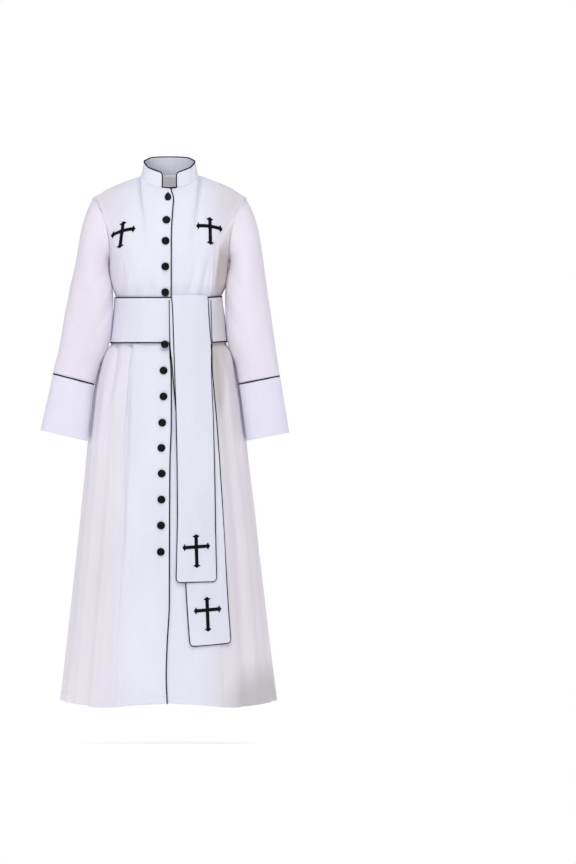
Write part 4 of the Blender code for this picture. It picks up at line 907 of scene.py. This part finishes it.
def make_body():
    surfaces = {}
    seed = 0.0
    for side in (RIGHT, LEFT):
        word = WORD[side]
        sewn = ("first", "last", "top")
        panels = [
            (f"front_{word}_centre", front_centre(side), False, sewn[1:]),
            (f"front_{word}_side", side_wall(side, False), False, sewn),
            (f"back_{word}_side", side_wall(side, True), True, sewn),
            (f"back_{word}_centre", back_centre(side), True, sewn),
        ]
        for name, grid, back, seams in panels:
            seed += 3.1
            dressed, normals = dress_panel(shoulder_rise(side, grid), back, seed, seams)
            surfaces[name] = (dressed, normals)
            for part, rows, sides in (("skirt", slice(0, SEAM_ROW + 1), seams),
                                      ("bodice", slice(SEAM_ROW, None), seams + ("bottom",))):
                whole = f"{part}_{name}"
                folded, outward = tucked(dressed[rows], normals[rows], sides)
                piece = grid_object(f"{whole}_cloth", folded, False, outward, CLOTH)
                split = part == "skirt" and name.endswith("side")
                nodes = [f"{whole}_lower", f"{whole}_upper"] if split else whole
                finish_piece(piece, nodes, body_cloth)
    return surfaces


def make_front_piping(outer, normals):
    beside = unit(outer[:, 0] - outer[:, 1])
    path = outer[:, 0] + beside * (PIPING * 0.8) - normals[:, 0] * 0.6
    make_cord("piping_front", softened(even_path(path, False, 4.0), False, 3), False)


# Sleeves and cuffs


def sleeve_point(side, turn, z, along=0.0):
    x, y, width, depth, tilt = (curve(z) for curve in sleeve_curves[side])
    lean, a = np.radians(tilt), np.radians(turn)
    point = xyz(x + width * np.cos(a) * np.cos(lean) + along * np.sin(lean),
                y - depth * np.sin(a),
                z + width * np.cos(a) * np.sin(lean) - along * np.cos(lean))
    return point * np.array([side, 1, 1])


def sleeve_head(side, turn, t):
    back = turn > 180
    top = armhole_point(side, np.where(back, 360 - turn, turn), back)
    first, second = SLEEVES[side][0][0], -300
    end, below = sleeve_point(side, turn, first), sleeve_point(side, turn, second)
    length = np.linalg.norm(end - top, axis=-1, keepdims=True)
    middle = np.sin(np.radians(np.minimum(turn, 360 - turn)))
    start_way = unit(xyz(side * (0.50 + 0.30 * middle), 0.0, -0.85 + 0.2 * middle))
    return hermite(top, end, start_way * length, unit(below - end) * length, t)


def sleeve_axis(side, grid):
    z = np.minimum(grid[..., 2], -120.0)
    x = sleeve_curves[side][0](z) - 0.15 * np.maximum(z + 262, 0)
    return xyz(side * x, sleeve_curves[side][1](z), grid[..., 2])


def sleeve_creases(turn, z, mirror):
    """Height of the creases, drawn on a sheet of turn and height."""
    total = np.zeros_like(z)
    for t0, z0, t1, z1, half, height, power in SLEEVE_CREASES:
        if mirror:
            z0, z1, height = z0 - 14, z1 - 6, height * 0.85
        away = ((turn - t0 + 180) % 360 - 180) * MM_A_DEGREE
        total += crease(away, z - z0, (t1 - t0) * MM_A_DEGREE, z1 - z0, half, height, 0, power, 1.4)
    return total


def underarm_seam(turns, along, seed):
    away = np.abs((turns - UNDERARM_TURN + 180) % 360 - 180) * MM_A_DEGREE
    return seam_relief(away[None, :], along, seed)


def make_sleeves():
    turns = np.arange(0, 360, 3.6)
    for side in (RIGHT, LEFT):
        cuff_top = SLEEVES[side][-2][0]
        rows = [sleeve_head(side, turns, t) for t in np.linspace(0, 1, 36)[:-1]]
        rows += [sleeve_point(side, turns, z) for z in spaced(SLEEVE_HEAD, cuff_top + 2.0, 4.6)]
        rows.append(sleeve_point(side, turns, cuff_top, -CUFF_PIPING - GAP))
        grid = np.array(rows)
        normals = grid_normals(grid, True, sleeve_axis(side, grid))
        along = arc(grid, 0)
        z = grid[..., 2]
        turn = np.broadcast_to(turns, z.shape)
        lift = sleeve_creases(turn, z, side == LEFT) + uneven(turn, z, 5.0 + side, 0.8) * ease(along / 40)
        # The side that faces the body reaches towards it
        lift = lift + bell(turns - 180, 42) * (4.5 * bell(z + 262, 55) + 5.5 * bell(z + 425, 55))
        # Seams at the armhole and at the cuff, and the long seam under the arm
        lift = lift + seam_relief(along, turns, 4.0 + side) * 0.35
        lift = lift + seam_relief(along[-1:] - along, turns, 6.0 + side)
        lift = lift + underarm_seam(turns, along, 2.0 + side)
        folded, outward = tucked(grid + normals * lift[..., None], normals, ("top", "bottom"))
        piece = grid_object(f"sleeve_{WORD[side]}_cloth", folded, True, outward, CLOTH)
        finish_piece(piece, f"sleeve_{WORD[side]}", sleeve_cloth)
        make_cuff(side, turns)


def cuff_point(side, turn, share):
    top, bottom = SLEEVES[side][-2][0], SLEEVES[side][-1][0]
    return sleeve_point(side, turn, top + (bottom - top) * share, (CUFF_PIPING + GAP) * (1 - share))


def make_cuff(side, turns):
    word = WORD[side]
    shares = np.concatenate([[0, 0.006, 0.015, 0.03, 0.05], np.linspace(0.08, 0.94, 26),
                             [0.96, 0.975, 0.988, 0.996, 1.0]])
    grid = np.array([cuff_point(side, turns, share) for share in shares])
    normals = grid_normals(grid, True, sleeve_axis(side, grid))
    along = arc(grid, 0)
    z = grid[..., 2]
    lift = uneven(np.broadcast_to(turns, z.shape) * 1.2, z * 1.6, 9.0 + side, 0.8)
    lift = lift + seam_relief(along, turns, 3.0 + side) * 0.8
    lift = lift - 0.9 * np.exp((along - along[-1:]) / 1.2)
    lift = lift + underarm_seam(turns, along, 2.5 + side)
    dressed = grid + normals * lift[..., None]
    folded, outward = tucked(dressed, normals, ("bottom",))
    # The mouth turns in on itself
    lip = dressed[-1] - normals[-1] * 1.2 + unit(dressed[-1] - dressed[-4]) * 0.4
    folded = np.concatenate([folded, lip[None]], axis=0)
    outward = np.concatenate([outward, outward[-1:]], axis=0)
    piece = grid_object(f"cuff_{word}_cloth", folded, True, outward, CUFF_CLOTH)
    finish_piece(piece, f"cuff_{word}", cuff_cloth)
    ring = sleeve_point(side, turns, SLEEVES[side][-2][0]) - normals[0] * 0.9
    make_cord(f"piping_cuff_{word}", even_path(ring, True, 2.4), True, CUFF_PIPING)
    surface = bvh_of(dressed, True)
    for number, station in enumerate(CUFF_BUTTON_STATIONS, 1):
        spot = cuff_point(side, CUFF_BUTTON_ANGLE, station)
        ahead = cuff_point(side, CUFF_BUTTON_ANGLE, station - 0.05)
        beside = cuff_point(side, CUFF_BUTTON_ANGLE - 5, station)
        outward = unit(np.cross(ahead - spot, beside - spot)) * -side
        add_button(f"button_cuff_{word}_{number}", surface, spot, outward)


# Collar


def collar_rows():
    first = math.degrees(math.asin(NOTCH_HALF_WIDTH / COLLAR_TOP_HALF_WIDTH))
    foot_first = math.degrees(math.asin(NOTCH_HALF_WIDTH / NECK_HALF_WIDTH))
    wide = np.linspace(foot_first, 360 - foot_first, 721)
    line = neck_point((wide + 180) % 360 - 180)
    length = np.concatenate([[0], np.cumsum(np.linalg.norm(np.diff(line, axis=0), axis=1))])
    shares = np.concatenate([[0, 0.002, 0.005, 0.009, 0.014], np.linspace(0.02, 0.98, 111),
                             [0.986, 0.991, 0.995, 0.998, 1.0]])
    foot = np.stack([np.interp(shares * length[-1], length, line[:, k]) for k in range(3)], -1)
    angle = first + (360 - 2 * first) * shares
    a = np.radians(angle)
    height = collar_top(np.minimum(angle, 360 - angle))
    from_edge = np.minimum(shares, 1 - shares) * length[-1]
    inside = np.clip(COLLAR_CORNER - from_edge, 0, COLLAR_CORNER)
    height = height - (COLLAR_CORNER - np.sqrt(COLLAR_CORNER ** 2 - inside ** 2)) * 0.7
    top = xyz(COLLAR_TOP_HALF_WIDTH * np.sin(a), NECK_MIDDLE - COLLAR_TOP_HALF_DEPTH * np.cos(a), height)
    foot = foot + np.array([0.0, 0.0, GAP + 0.1])
    rows = []
    for t in np.linspace(0, 1, 17):
        bow = math.sin(math.pi * t) * 1.2
        rows.append(foot + (top - foot) * t + bow * xyz(-np.sin(a), np.cos(a), 0.0))
    return np.array(rows), angle, from_edge


def make_collar():
    grid, angle, from_edge = collar_rows()
    axis = xyz(0.0, NECK_MIDDLE, grid[..., 2])
    normals = grid_normals(grid, False, axis)
    along, across = arc(grid, 0), arc(grid, 1)
    lift = uneven(across * 0.7, grid[..., 2] * 3, 2.0, 0.45)
    share = along / along[-1:]
    for middle, slant, half, height in COLLAR_CREASES:
        away = (angle[None, :] - middle - slant * (share - 0.5) * 24)
        rise = np.sin(np.pi * np.clip(share * 0.9 + 0.05, 0, 1))
        lift = lift + height * np.exp(-np.abs(away / half) ** 1.7) * rise
    lift = lift * np.clip(from_edge / 10, 0, 1)
    lift = lift + seam_relief(along, across, 1.0) * 0.15
    dressed = grid + normals * lift[..., None]
    foot_in = dressed[0] - normals[0] * 1.2 - np.array([0.0, 0.0, 2.2])
    folded = np.concatenate([foot_in[None], dressed], axis=0)
    outward = np.concatenate([normals[:1], normals], axis=0)
    piece = grid_object("collar_cloth", folded, False, outward, COLLAR_CLOTH)
    finish_piece(piece, "collar", body_cloth)
    # Piping: along the top, down both sides of the notch and across its foot
    middle = dressed - normals * (COLLAR_CLOTH / 2)
    lift = PIPING * 0.75
    up = np.array([0.0, 0.0, 1.0])
    path = [middle[-1, c] + up * lift for c in range(2, middle.shape[1] - 2)]
    right = [middle[r, -1] + np.array([lift, 0, 0]) for r in range(15, 1, -1)]
    left = [middle[r, 0] - np.array([lift, 0, 0]) for r in range(2, 16)]
    foot = [neck_point(math.degrees(math.asin(x / NECK_HALF_WIDTH))) + np.array([0.0, -0.6, -0.4])
            for x in np.linspace(-NOTCH_HALF_WIDTH + 0.5, NOTCH_HALF_WIDTH - 0.5, 12)]
    path = softened(even_path(path + right + foot + left, True, 1.6), True, 2)
    make_cord("piping_collar", path, True, sides=12)
    # The facing of the back neck, which shows through the notch; its grey is painted shade inside the neck
    turns = np.arange(58, 304, 3.0)
    down = np.array([4.0, 0.0, -8.0, -18.0, -28.0, -40.0])[:, None]
    inside = neck_point((turns + 180) % 360 - 180) * np.array([0.955, 0.955, 1.0])
    facing = inside[None] + xyz(0.0, 0.06 * down, down)
    outward = facing - xyz(0.0, NECK_MIDDLE, facing[..., 2])
    piece = grid_object("collar_facing", facing, False, outward, 0.6)
    finish_piece(piece, (), facing_cloth)


# Belt and falls


def body_front(x, z):
    """The front of the body at this x and height, with the drop of the hem's rings taken out."""
    share = np.maximum((WAIST - z) / (WAIST - HEM), 0.0)
    ring = z - hem_drop(np.abs(angle_of(x, z))) * share ** 2
    return ring_point(angle_of(x, ring), ring)


def on_skirt(x, z, lift):
    x, z = np.broadcast_arrays(np.asarray(x, float), np.asarray(z, float))
    across = body_front(x + 2, z) - body_front(x - 2, z)
    along = body_front(x, z + 4) - body_front(x, z - 4)
    return body_front(x, z) + unit(np.cross(across, along)) * np.asarray(lift, float)[..., None]


def belt_point(angle, share, lift):
    angle, share = np.broadcast_arrays(angle, share)
    z = BELT_BOTTOM + (BELT_TOP - BELT_BOTTOM) * share
    here = ring_point(angle, z)
    ahead = ring_point(angle + 1, z) - ring_point(angle - 1, z)
    outward = unit(np.cross(ahead, np.array([0.0, 0.0, 1.0])))
    rise = BELT_RISE * ease((here[..., 0] - 90) / 50)
    return here + outward * np.asarray(lift, float)[..., None] + xyz(0.0, 0.0, rise)


def make_belt():
    angles = np.arange(0, 360, 1.5)
    shares = np.concatenate([[0, 0.01, 0.025, 0.05], np.linspace(0.09, 0.91, 16), [0.95, 0.975, 0.99, 1.0]])
    lifts = np.full((len(shares), len(angles)), BELT_LIFT + BELT_WALL)
    grid = belt_point(angles[None, :], shares[:, None], lifts)
    axis = xyz(0.0, 12.0, grid[..., 2])
    normals = grid_normals(grid, True, axis)
    a = np.broadcast_to(angles, grid.shape[:2]) * 2.3
    s = np.broadcast_to(shares[:, None], grid.shape[:2]) * BELT_WIDTH
    lift = uneven(a, s * 2.2, 7.0, 0.7)
    # Lengthwise creases where the band is drawn round the waist
    for middle, spread, height, half, slope in BELT_CREASES:
        away = ((angles - middle + 180) % 360 - 180)
        at = BELT_WIDTH / 2 + 30 * math.sin(middle) + slope * away * 2.3
        lift = lift + height * np.exp(-((s - at) / half) ** 2) * np.exp(-(away / spread) ** 2)
    edge = np.minimum(s, BELT_WIDTH - s)
    lift = lift + seam_relief(edge, a, 8.0) * 0.8
    falls = ease((angles - 2) / 4) * ease((58 - angles) / 6)
    lift = lift * (1 - 0.8 * falls)
    dressed = grid + normals * lift[..., None]
    folded, outward = tucked(dressed, normals, ("top", "bottom"))
    piece = grid_object("belt_cloth", folded, True, outward, BAND_CLOTH)
    finish_piece(piece, "belt", band_cloth)
    for word, row, way in (("bottom", 0, -1), ("top", -1, 1)):
        middle = dressed[row] - normals[row] * 1.1 + np.array([0.0, 0.0, way * PIPING * 0.8])
        whole = word == "top"
        if not whole:
            # It starts under the falls, runs round the back and stops at the edge of the right front
            middle = middle[(angles > 24) & (angles < 359)]
        make_cord(f"piping_belt_{word}", even_path(middle, whole, 2.6), whole)


def fall_lift(z, lifts):
    at_belt, below = lifts
    return at_belt + (below - at_belt) * ease((BELT_BOTTOM - 6 - z) / 90)


def slanted(table, slant, x, z):
    """The height of a fall's row at this x: the rows climb more and more towards the slanting foot."""
    top, foot = table[0][0], table[-1][0]
    return z + slant * (x - column_curve(table, 1)(z)) * (np.maximum(top - z, 0) / (top - foot)) ** 2


def fall_relief(x, z, middle, half, foot, seed):
    share = (x - middle) / half
    edge = np.abs(np.abs(share) - 1) * half
    lift = seam_relief(np.minimum(edge, np.maximum(z - foot, 0.0)), z, seed) * 0.7
    lift = lift + uneven(x * 1.5 + 40 * seed, z, seed, 0.8)
    return lift + 0.8 * (1 - share ** 2)


def make_fall(word, table, lifts, slant, tail):
    middle, half = column_curve(table, 1), column_curve(table, 2)
    foot, top = table[-1][0], table[0][0]
    beside = np.array([0.86, 0.92, 0.96, 0.985, 1])
    across = np.concatenate([-beside[::-1], np.linspace(-0.78, 0.78, 22), beside])
    start = top - 4 if tail else -324
    heights = np.array(spaced(start, -470, 4.0) + spaced(-470, foot + 10, 6.0)
                       + [foot + 10, foot + 7.5, foot + 5, foot + 3, foot + 1.5, foot])
    z = np.repeat(heights[:, None], len(across), axis=1)
    x = middle(z) + across * half(z)
    # Rounded corners at the foot
    for r, height in enumerate(heights):
        up = height - foot
        if up < FALL_CORNER:
            cut = FALL_CORNER - math.sqrt(max(FALL_CORNER ** 2 - (FALL_CORNER - up) ** 2, 0))
            x[r] = middle(height) + across * (half(height) - cut)
    lift = fall_lift(z, lifts) + FALL_WALL
    relief = fall_relief(x, z, middle(z), half(z), foot, 1.0 if tail else 2.0)
    relief = relief + FALL_CREASE_GAIN * crease_height(x, z, FALL_CREASES[word])
    relief = np.clip(relief, -1.2, 4.0) * ease((-330 - z) / 30 + 0.3)
    if not tail:
        shown = ease((z + 1075) / -25)
        relief = np.minimum(relief, 0.6 + 3.0 * shown)
    grid = on_skirt(x, slanted(table, slant, x, z), lift + relief)
    if tail:
        # The fold over the belt's top edge
        roll, steps = [], 9
        outer_lift, inner_lift = lifts[0] + FALL_WALL, 0.62
        for k in range(steps):
            a = math.pi * k / (steps - 1)
            share = (1 - math.cos(a)) / 2
            height = 4.6 * math.sin(a)
            lift_here = np.full(len(across), inner_lift + (outer_lift - inner_lift) * share)
            base = on_skirt(x[0], top - 4, lift_here)
            roll.append(base + np.array([0, 0, height + 1.0]))
        behind = np.full(len(across), inner_lift + 0.3)
        tail_row = [on_skirt(x[0] * 0.94 + 3.5, zt, behind) for zt in (-350, -338, -326)]
        grid = np.concatenate([np.array(tail_row), np.array(roll[:-1]), grid], axis=0)
    grid = grid[::-1]
    piece = grid_object(f"fall_{word}_cloth", grid, False, outward_of(grid), FALL_WALL * 0.75)
    finish_piece(piece, f"fall_{word}", band_cloth)
    # Piping round the sides and the foot
    radius = FALL_PIPING
    away = radius * 0.8
    side_z = [h for h in heights if h > foot + FALL_CORNER]
    path = [(middle(h) - half(h) - away, h) for h in side_z]
    for angle in (15, 30, 45, 60, 75):
        a = math.radians(angle)
        reach = FALL_CORNER + away
        path.append((middle(foot) - half(foot) + FALL_CORNER - reach * math.cos(a),
                     foot + FALL_CORNER - reach * math.sin(a)))
    path += [(middle(foot) + s * (half(foot) - FALL_CORNER), foot - away) for s in np.linspace(-1, 1, 24)]
    for angle in (75, 60, 45, 30, 15):
        a = math.radians(angle)
        reach = FALL_CORNER + away
        path.append((middle(foot) + half(foot) - FALL_CORNER + reach * math.cos(a),
                     foot + FALL_CORNER - reach * math.sin(a)))
    path += [(middle(h) + half(h) + away, h) for h in reversed(side_z)]
    px, pz = np.array(path, float).T
    line = on_skirt(px, slanted(table, slant, px, pz), fall_lift(pz, lifts) + FALL_WALL * 0.55)
    make_cord(f"piping_fall_{word}", softened(even_path(line, False, 2.6), False, 3), False, radius)
    return grid


def outward_of(grid):
    """Directions away from the robe's middle, to turn faces outward, without the tail behind the belt."""
    away = grid - xyz(0.0, 15.0, grid[..., 2])
    weight = (grid[..., 2] < -440)[..., None]
    return away * weight


# Buttons and crosses


def bvh_of(grid, closed=False):
    count = grid.shape[1]
    points = [Vector(p) for p in grid.reshape(-1, 3)]
    faces = []
    for r in range(grid.shape[0] - 1):
        for c in range(count if closed else count - 1):
            d = (c + 1) % count
            a, b = r * count + c, r * count + d
            faces.append((a, b, b + count, a + count))
    return BVHTree.FromPolygons(points, faces)


def height_over(surface, point, outward):
    hit = surface.ray_cast(Vector(point + outward * 60), Vector(-outward), 120)
    return None if hit[0] is None else 60 - hit[3]


def add_button(name, surface, spot, outward, over=0.0, drop=0.0, narrow=1.0):
    """A moulded button: domed rim, sunk ring and a low middle, on the cloth and square to it."""
    across = unit(np.cross(outward, [0.0, 0.0, 1.0]))
    up = np.cross(across, outward)
    reach = []
    for k in range(8):
        a = math.pi * k / 4
        rise = height_over(surface, spot + (across * math.cos(a) + up * math.sin(a)) * BUTTON_RADIUS, outward)
        if rise is not None:
            reach.append(rise)
    reach.append(height_over(surface, spot, outward) or 0.0)
    base = float(np.mean(reach)) + 0.25 + over
    sides = 36
    turn = 2 * np.pi * np.arange(sides) / sides
    points, faces = [], []
    for share, height in BUTTON_PROFILE:
        point_up = 1 + drop * np.clip(np.sin(turn), 0, 1) ** 5
        ring = np.cos(turn)[:, None] * narrow * across + (np.sin(turn) * point_up)[:, None] * up
        points.append(spot + outward * (base + height) + ring * BUTTON_RADIUS * share)
    for r in range(len(BUTTON_PROFILE) - 1):
        for s in range(sides):
            a, b = r * sides + s, r * sides + (s + 1) % sides
            faces.append((a, b, b + sides, a + sides))
    last = (len(BUTTON_PROFILE) - 1) * sides
    faces.append(tuple(reversed(range(sides))))
    faces.append(tuple(last + s for s in range(sides)))
    piece = mesh_object(f"{name}_black", np.concatenate(points), faces)
    finish_piece(piece, name, button_black)


def front_hit(surface, x, z):
    hit = surface.ray_cast(Vector((x, -400.0, z)), Vector((0.0, 1.0, 0.0)), 600)
    normal = np.array(hit[1])
    return np.array(hit[0]), normal if normal[1] < 0 else -normal


def make_buttons(surfaces):
    surface = bvh_of(surfaces["front_right_centre"][0])
    for number, z in enumerate(BUTTON_HEIGHTS, 1):
        spot, outward = front_hit(surface, front_edge(z) - button_setback(z), z)
        add_button(f"button_front_{number:02d}", surface, spot, outward, *LOOSE_BUTTONS.get(number, ()))


def make_cross(name, place, up, down, right, left):
    """An embroidered cross of two crossing bars with barbed ends, each bar crowned like satin stitch."""
    points, faces, uv = [], [], []
    across = np.array([-1.0, -0.94, -0.78, -0.45, 0.0, 0.45, 0.78, 0.94, 1.0])
    crown = 0.35 + CROSS_THICKNESS * np.sqrt(np.clip(1 - np.abs(across) ** 2.6, 0, 1))
    from_tip = np.array([d for d, _ in reversed(CROSS_POINT)])
    wide_at = np.array([w for _, w in reversed(CROSS_POINT)])
    for upright, low, high in ((True, down, up), (False, right, left)):
        middle = np.linspace(-low + from_tip[-1], high - from_tip[-1], 40)
        steps = np.concatenate([-low + from_tip[:-1], middle, (high - from_tip[:-1])[::-1]])
        rows = []
        for step in steps:
            wide = np.interp(min(high - step, low + step), from_tip, wide_at)
            raised = min(1.0, wide / 2.5)
            ring = []
            for s, h in zip(across, crown + (0.0 if upright else 0.25)):
                flat = (s * wide, step) if upright else (step, s * wide)
                ring.append((place(*flat, h * raised), (step, s * wide)))
            for s in across[::-1][1:-1]:
                flat = (s * wide, step) if upright else (step, s * wide)
                ring.append((place(*flat, 0.0), (step, s * wide)))
            rows.append(ring)
        count, first = len(rows[0]), len(points)
        for ring in rows:
            points += [p for p, _ in ring]
            uv += [t for _, t in ring]
        for r in range(len(rows) - 1):
            for c in range(count):
                d = (c + 1) % count
                a = first + r * count
                faces.append((a + c, a + d, a + count + d, a + count + c))
        faces.append(tuple(first + c for c in reversed(range(count))))
        faces.append(tuple(first + (len(rows) - 1) * count + c for c in range(count)))
    piece = mesh_object(f"{name}_thread", points, faces)
    layer = piece.data.uv_layers.new(name="thread")
    loops = np.array([loop.vertex_index for loop in piece.data.loops])
    layer.data.foreach_set("uv", (np.array(uv)[loops] * MM).ravel())
    finish_piece(piece, name, thread)


def make_crosses(surfaces, falls):
    trees = {"cross_chest_right": bvh_of(surfaces["front_right_centre"][0]),
             "cross_chest_left": bvh_of(surfaces["front_left_centre"][0]),
             "cross_fall_front": bvh_of(falls["front"]), "cross_fall_under": bvh_of(falls["under"])}
    for name, (x0, z0, up, down, right, left, lean, slope, sag) in CROSSES.items():

        def place(x, z, height):
            spot, outward = front_hit(trees[name], x0 + x + lean * z, z0 + z + slope * x - sag * x * x)
            return spot + outward * (height + 0.15)

        make_cross(name, place, up, down, right, left)


# The stage


def make_stage():
    mesh = bpy.data.meshes.new("floor")
    half, z = 4.0, -1.475
    corners = [(-half, -half, z), (half, -half, z), (half, half, z), (-half, half, z)]
    mesh.from_pydata(corners, [], [(0, 1, 2, 3)])
    floor = bpy.data.objects.new("floor", mesh)
    bpy.context.scene.collection.objects.link(floor)
    material, _ = make_material("floor", (0.93, 0.93, 0.93), 0.8, Emission_Color=(1.0, 1.0, 1.0, 1.0),
                                Emission_Strength=0.5)
    floor.data.materials.append(material)

    world = bpy.data.worlds.new("studio")
    bpy.context.scene.world = world
    world.use_nodes = True
    tree = world.node_tree
    tree.nodes.clear()
    out = tree.nodes.new("ShaderNodeOutputWorld")
    mix = tree.nodes.new("ShaderNodeMixShader")
    seen, lit = tree.nodes.new("ShaderNodeBackground"), tree.nodes.new("ShaderNodeBackground")
    seen.inputs["Color"].default_value = (1, 1, 1, 1)
    seen.inputs["Strength"].default_value = 1.0
    lit.inputs["Color"].default_value = (0.97, 0.96, 1.0, 1)
    lit.inputs["Strength"].default_value = 0.27
    path = tree.nodes.new("ShaderNodeLightPath")
    tree.links.new(path.outputs["Is Camera Ray"], mix.inputs["Fac"])
    tree.links.new(lit.outputs["Background"], mix.inputs[1])
    tree.links.new(seen.outputs["Background"], mix.inputs[2])
    tree.links.new(mix.outputs["Shader"], out.inputs["Surface"])

    # Each row: name, place, aim, size, power, colour
    lights = [
        ("key", (-3.0, -4.9, 0.9), (0, 0, -0.35), 1.6, 70, (1.0, 0.99, 0.98)),
        ("fill", (3.6, -4.6, 0.9), (0, 0, -0.2), 3.0, 12, (0.94, 0.95, 1.0)),
        ("top", (0.3, -2.2, 2.6), (0, 0, 0.0), 2.0, 72, (1.0, 1.0, 1.0)),
        ("back", (0.0, 4.5, 1.0), (0, 0, -0.7), 3.0, 40, (1.0, 1.0, 1.0)),
        ("right_side", (-5.0, 0.8, -0.3), (0, 0, -0.7), 2.5, 34, (1.0, 0.99, 1.0)),
        ("left_side", (5.0, 0.8, -0.3), (0, 0, -0.7), 2.5, 45, (1.0, 0.99, 1.0)),
    ]
    for name, place, aim, size, power, colour in lights:
        data = bpy.data.lights.new(name, "AREA")
        data.shape = "DISK"
        data.size = size
        data.energy = power
        data.color = colour
        light = bpy.data.objects.new(name, data)
        light.location = place
        light.rotation_mode = "QUATERNION"
        light.rotation_quaternion = (Vector(aim) - Vector(place)).to_track_quat("-Z", "Y")
        bpy.context.scene.collection.objects.link(light)

    data = bpy.data.cameras.new("camera")
    camera = bpy.data.objects.new("camera", data)
    bpy.context.scene.collection.objects.link(camera)
    distance = 60.0
    scale = 2.6 * MM
    aim = Vector(((288 - 169.5) * scale, 0.0, (176 - 432) * scale))
    camera.location = (aim.x, -distance, aim.z)
    camera.rotation_mode = "QUATERNION"
    camera.rotation_quaternion = (aim - camera.location).to_track_quat("-Z", "Y")
    data.sensor_width = 36.0
    data.clip_start, data.clip_end = 1.0, 200.0
    data.lens = 36.0 / 2 / (864 * scale / 2 / (aim - camera.location).length)
    bpy.context.scene.camera = camera
    bpy.context.scene.view_settings.view_transform = "Standard"


surfaces = make_body()
make_sleeves()
make_collar()
make_front_piping(*surfaces["front_right_centre"])
make_belt()
falls = {"front": make_fall("front", FRONT_FALL, FRONT_FALL_LIFT, FRONT_FALL_SLANT, True),
         "under": make_fall("under", UNDER_FALL, UNDER_FALL_LIFT, UNDER_FALL_SLANT, False)}
make_buttons(surfaces)
make_crosses(surfaces, falls)
make_stage()
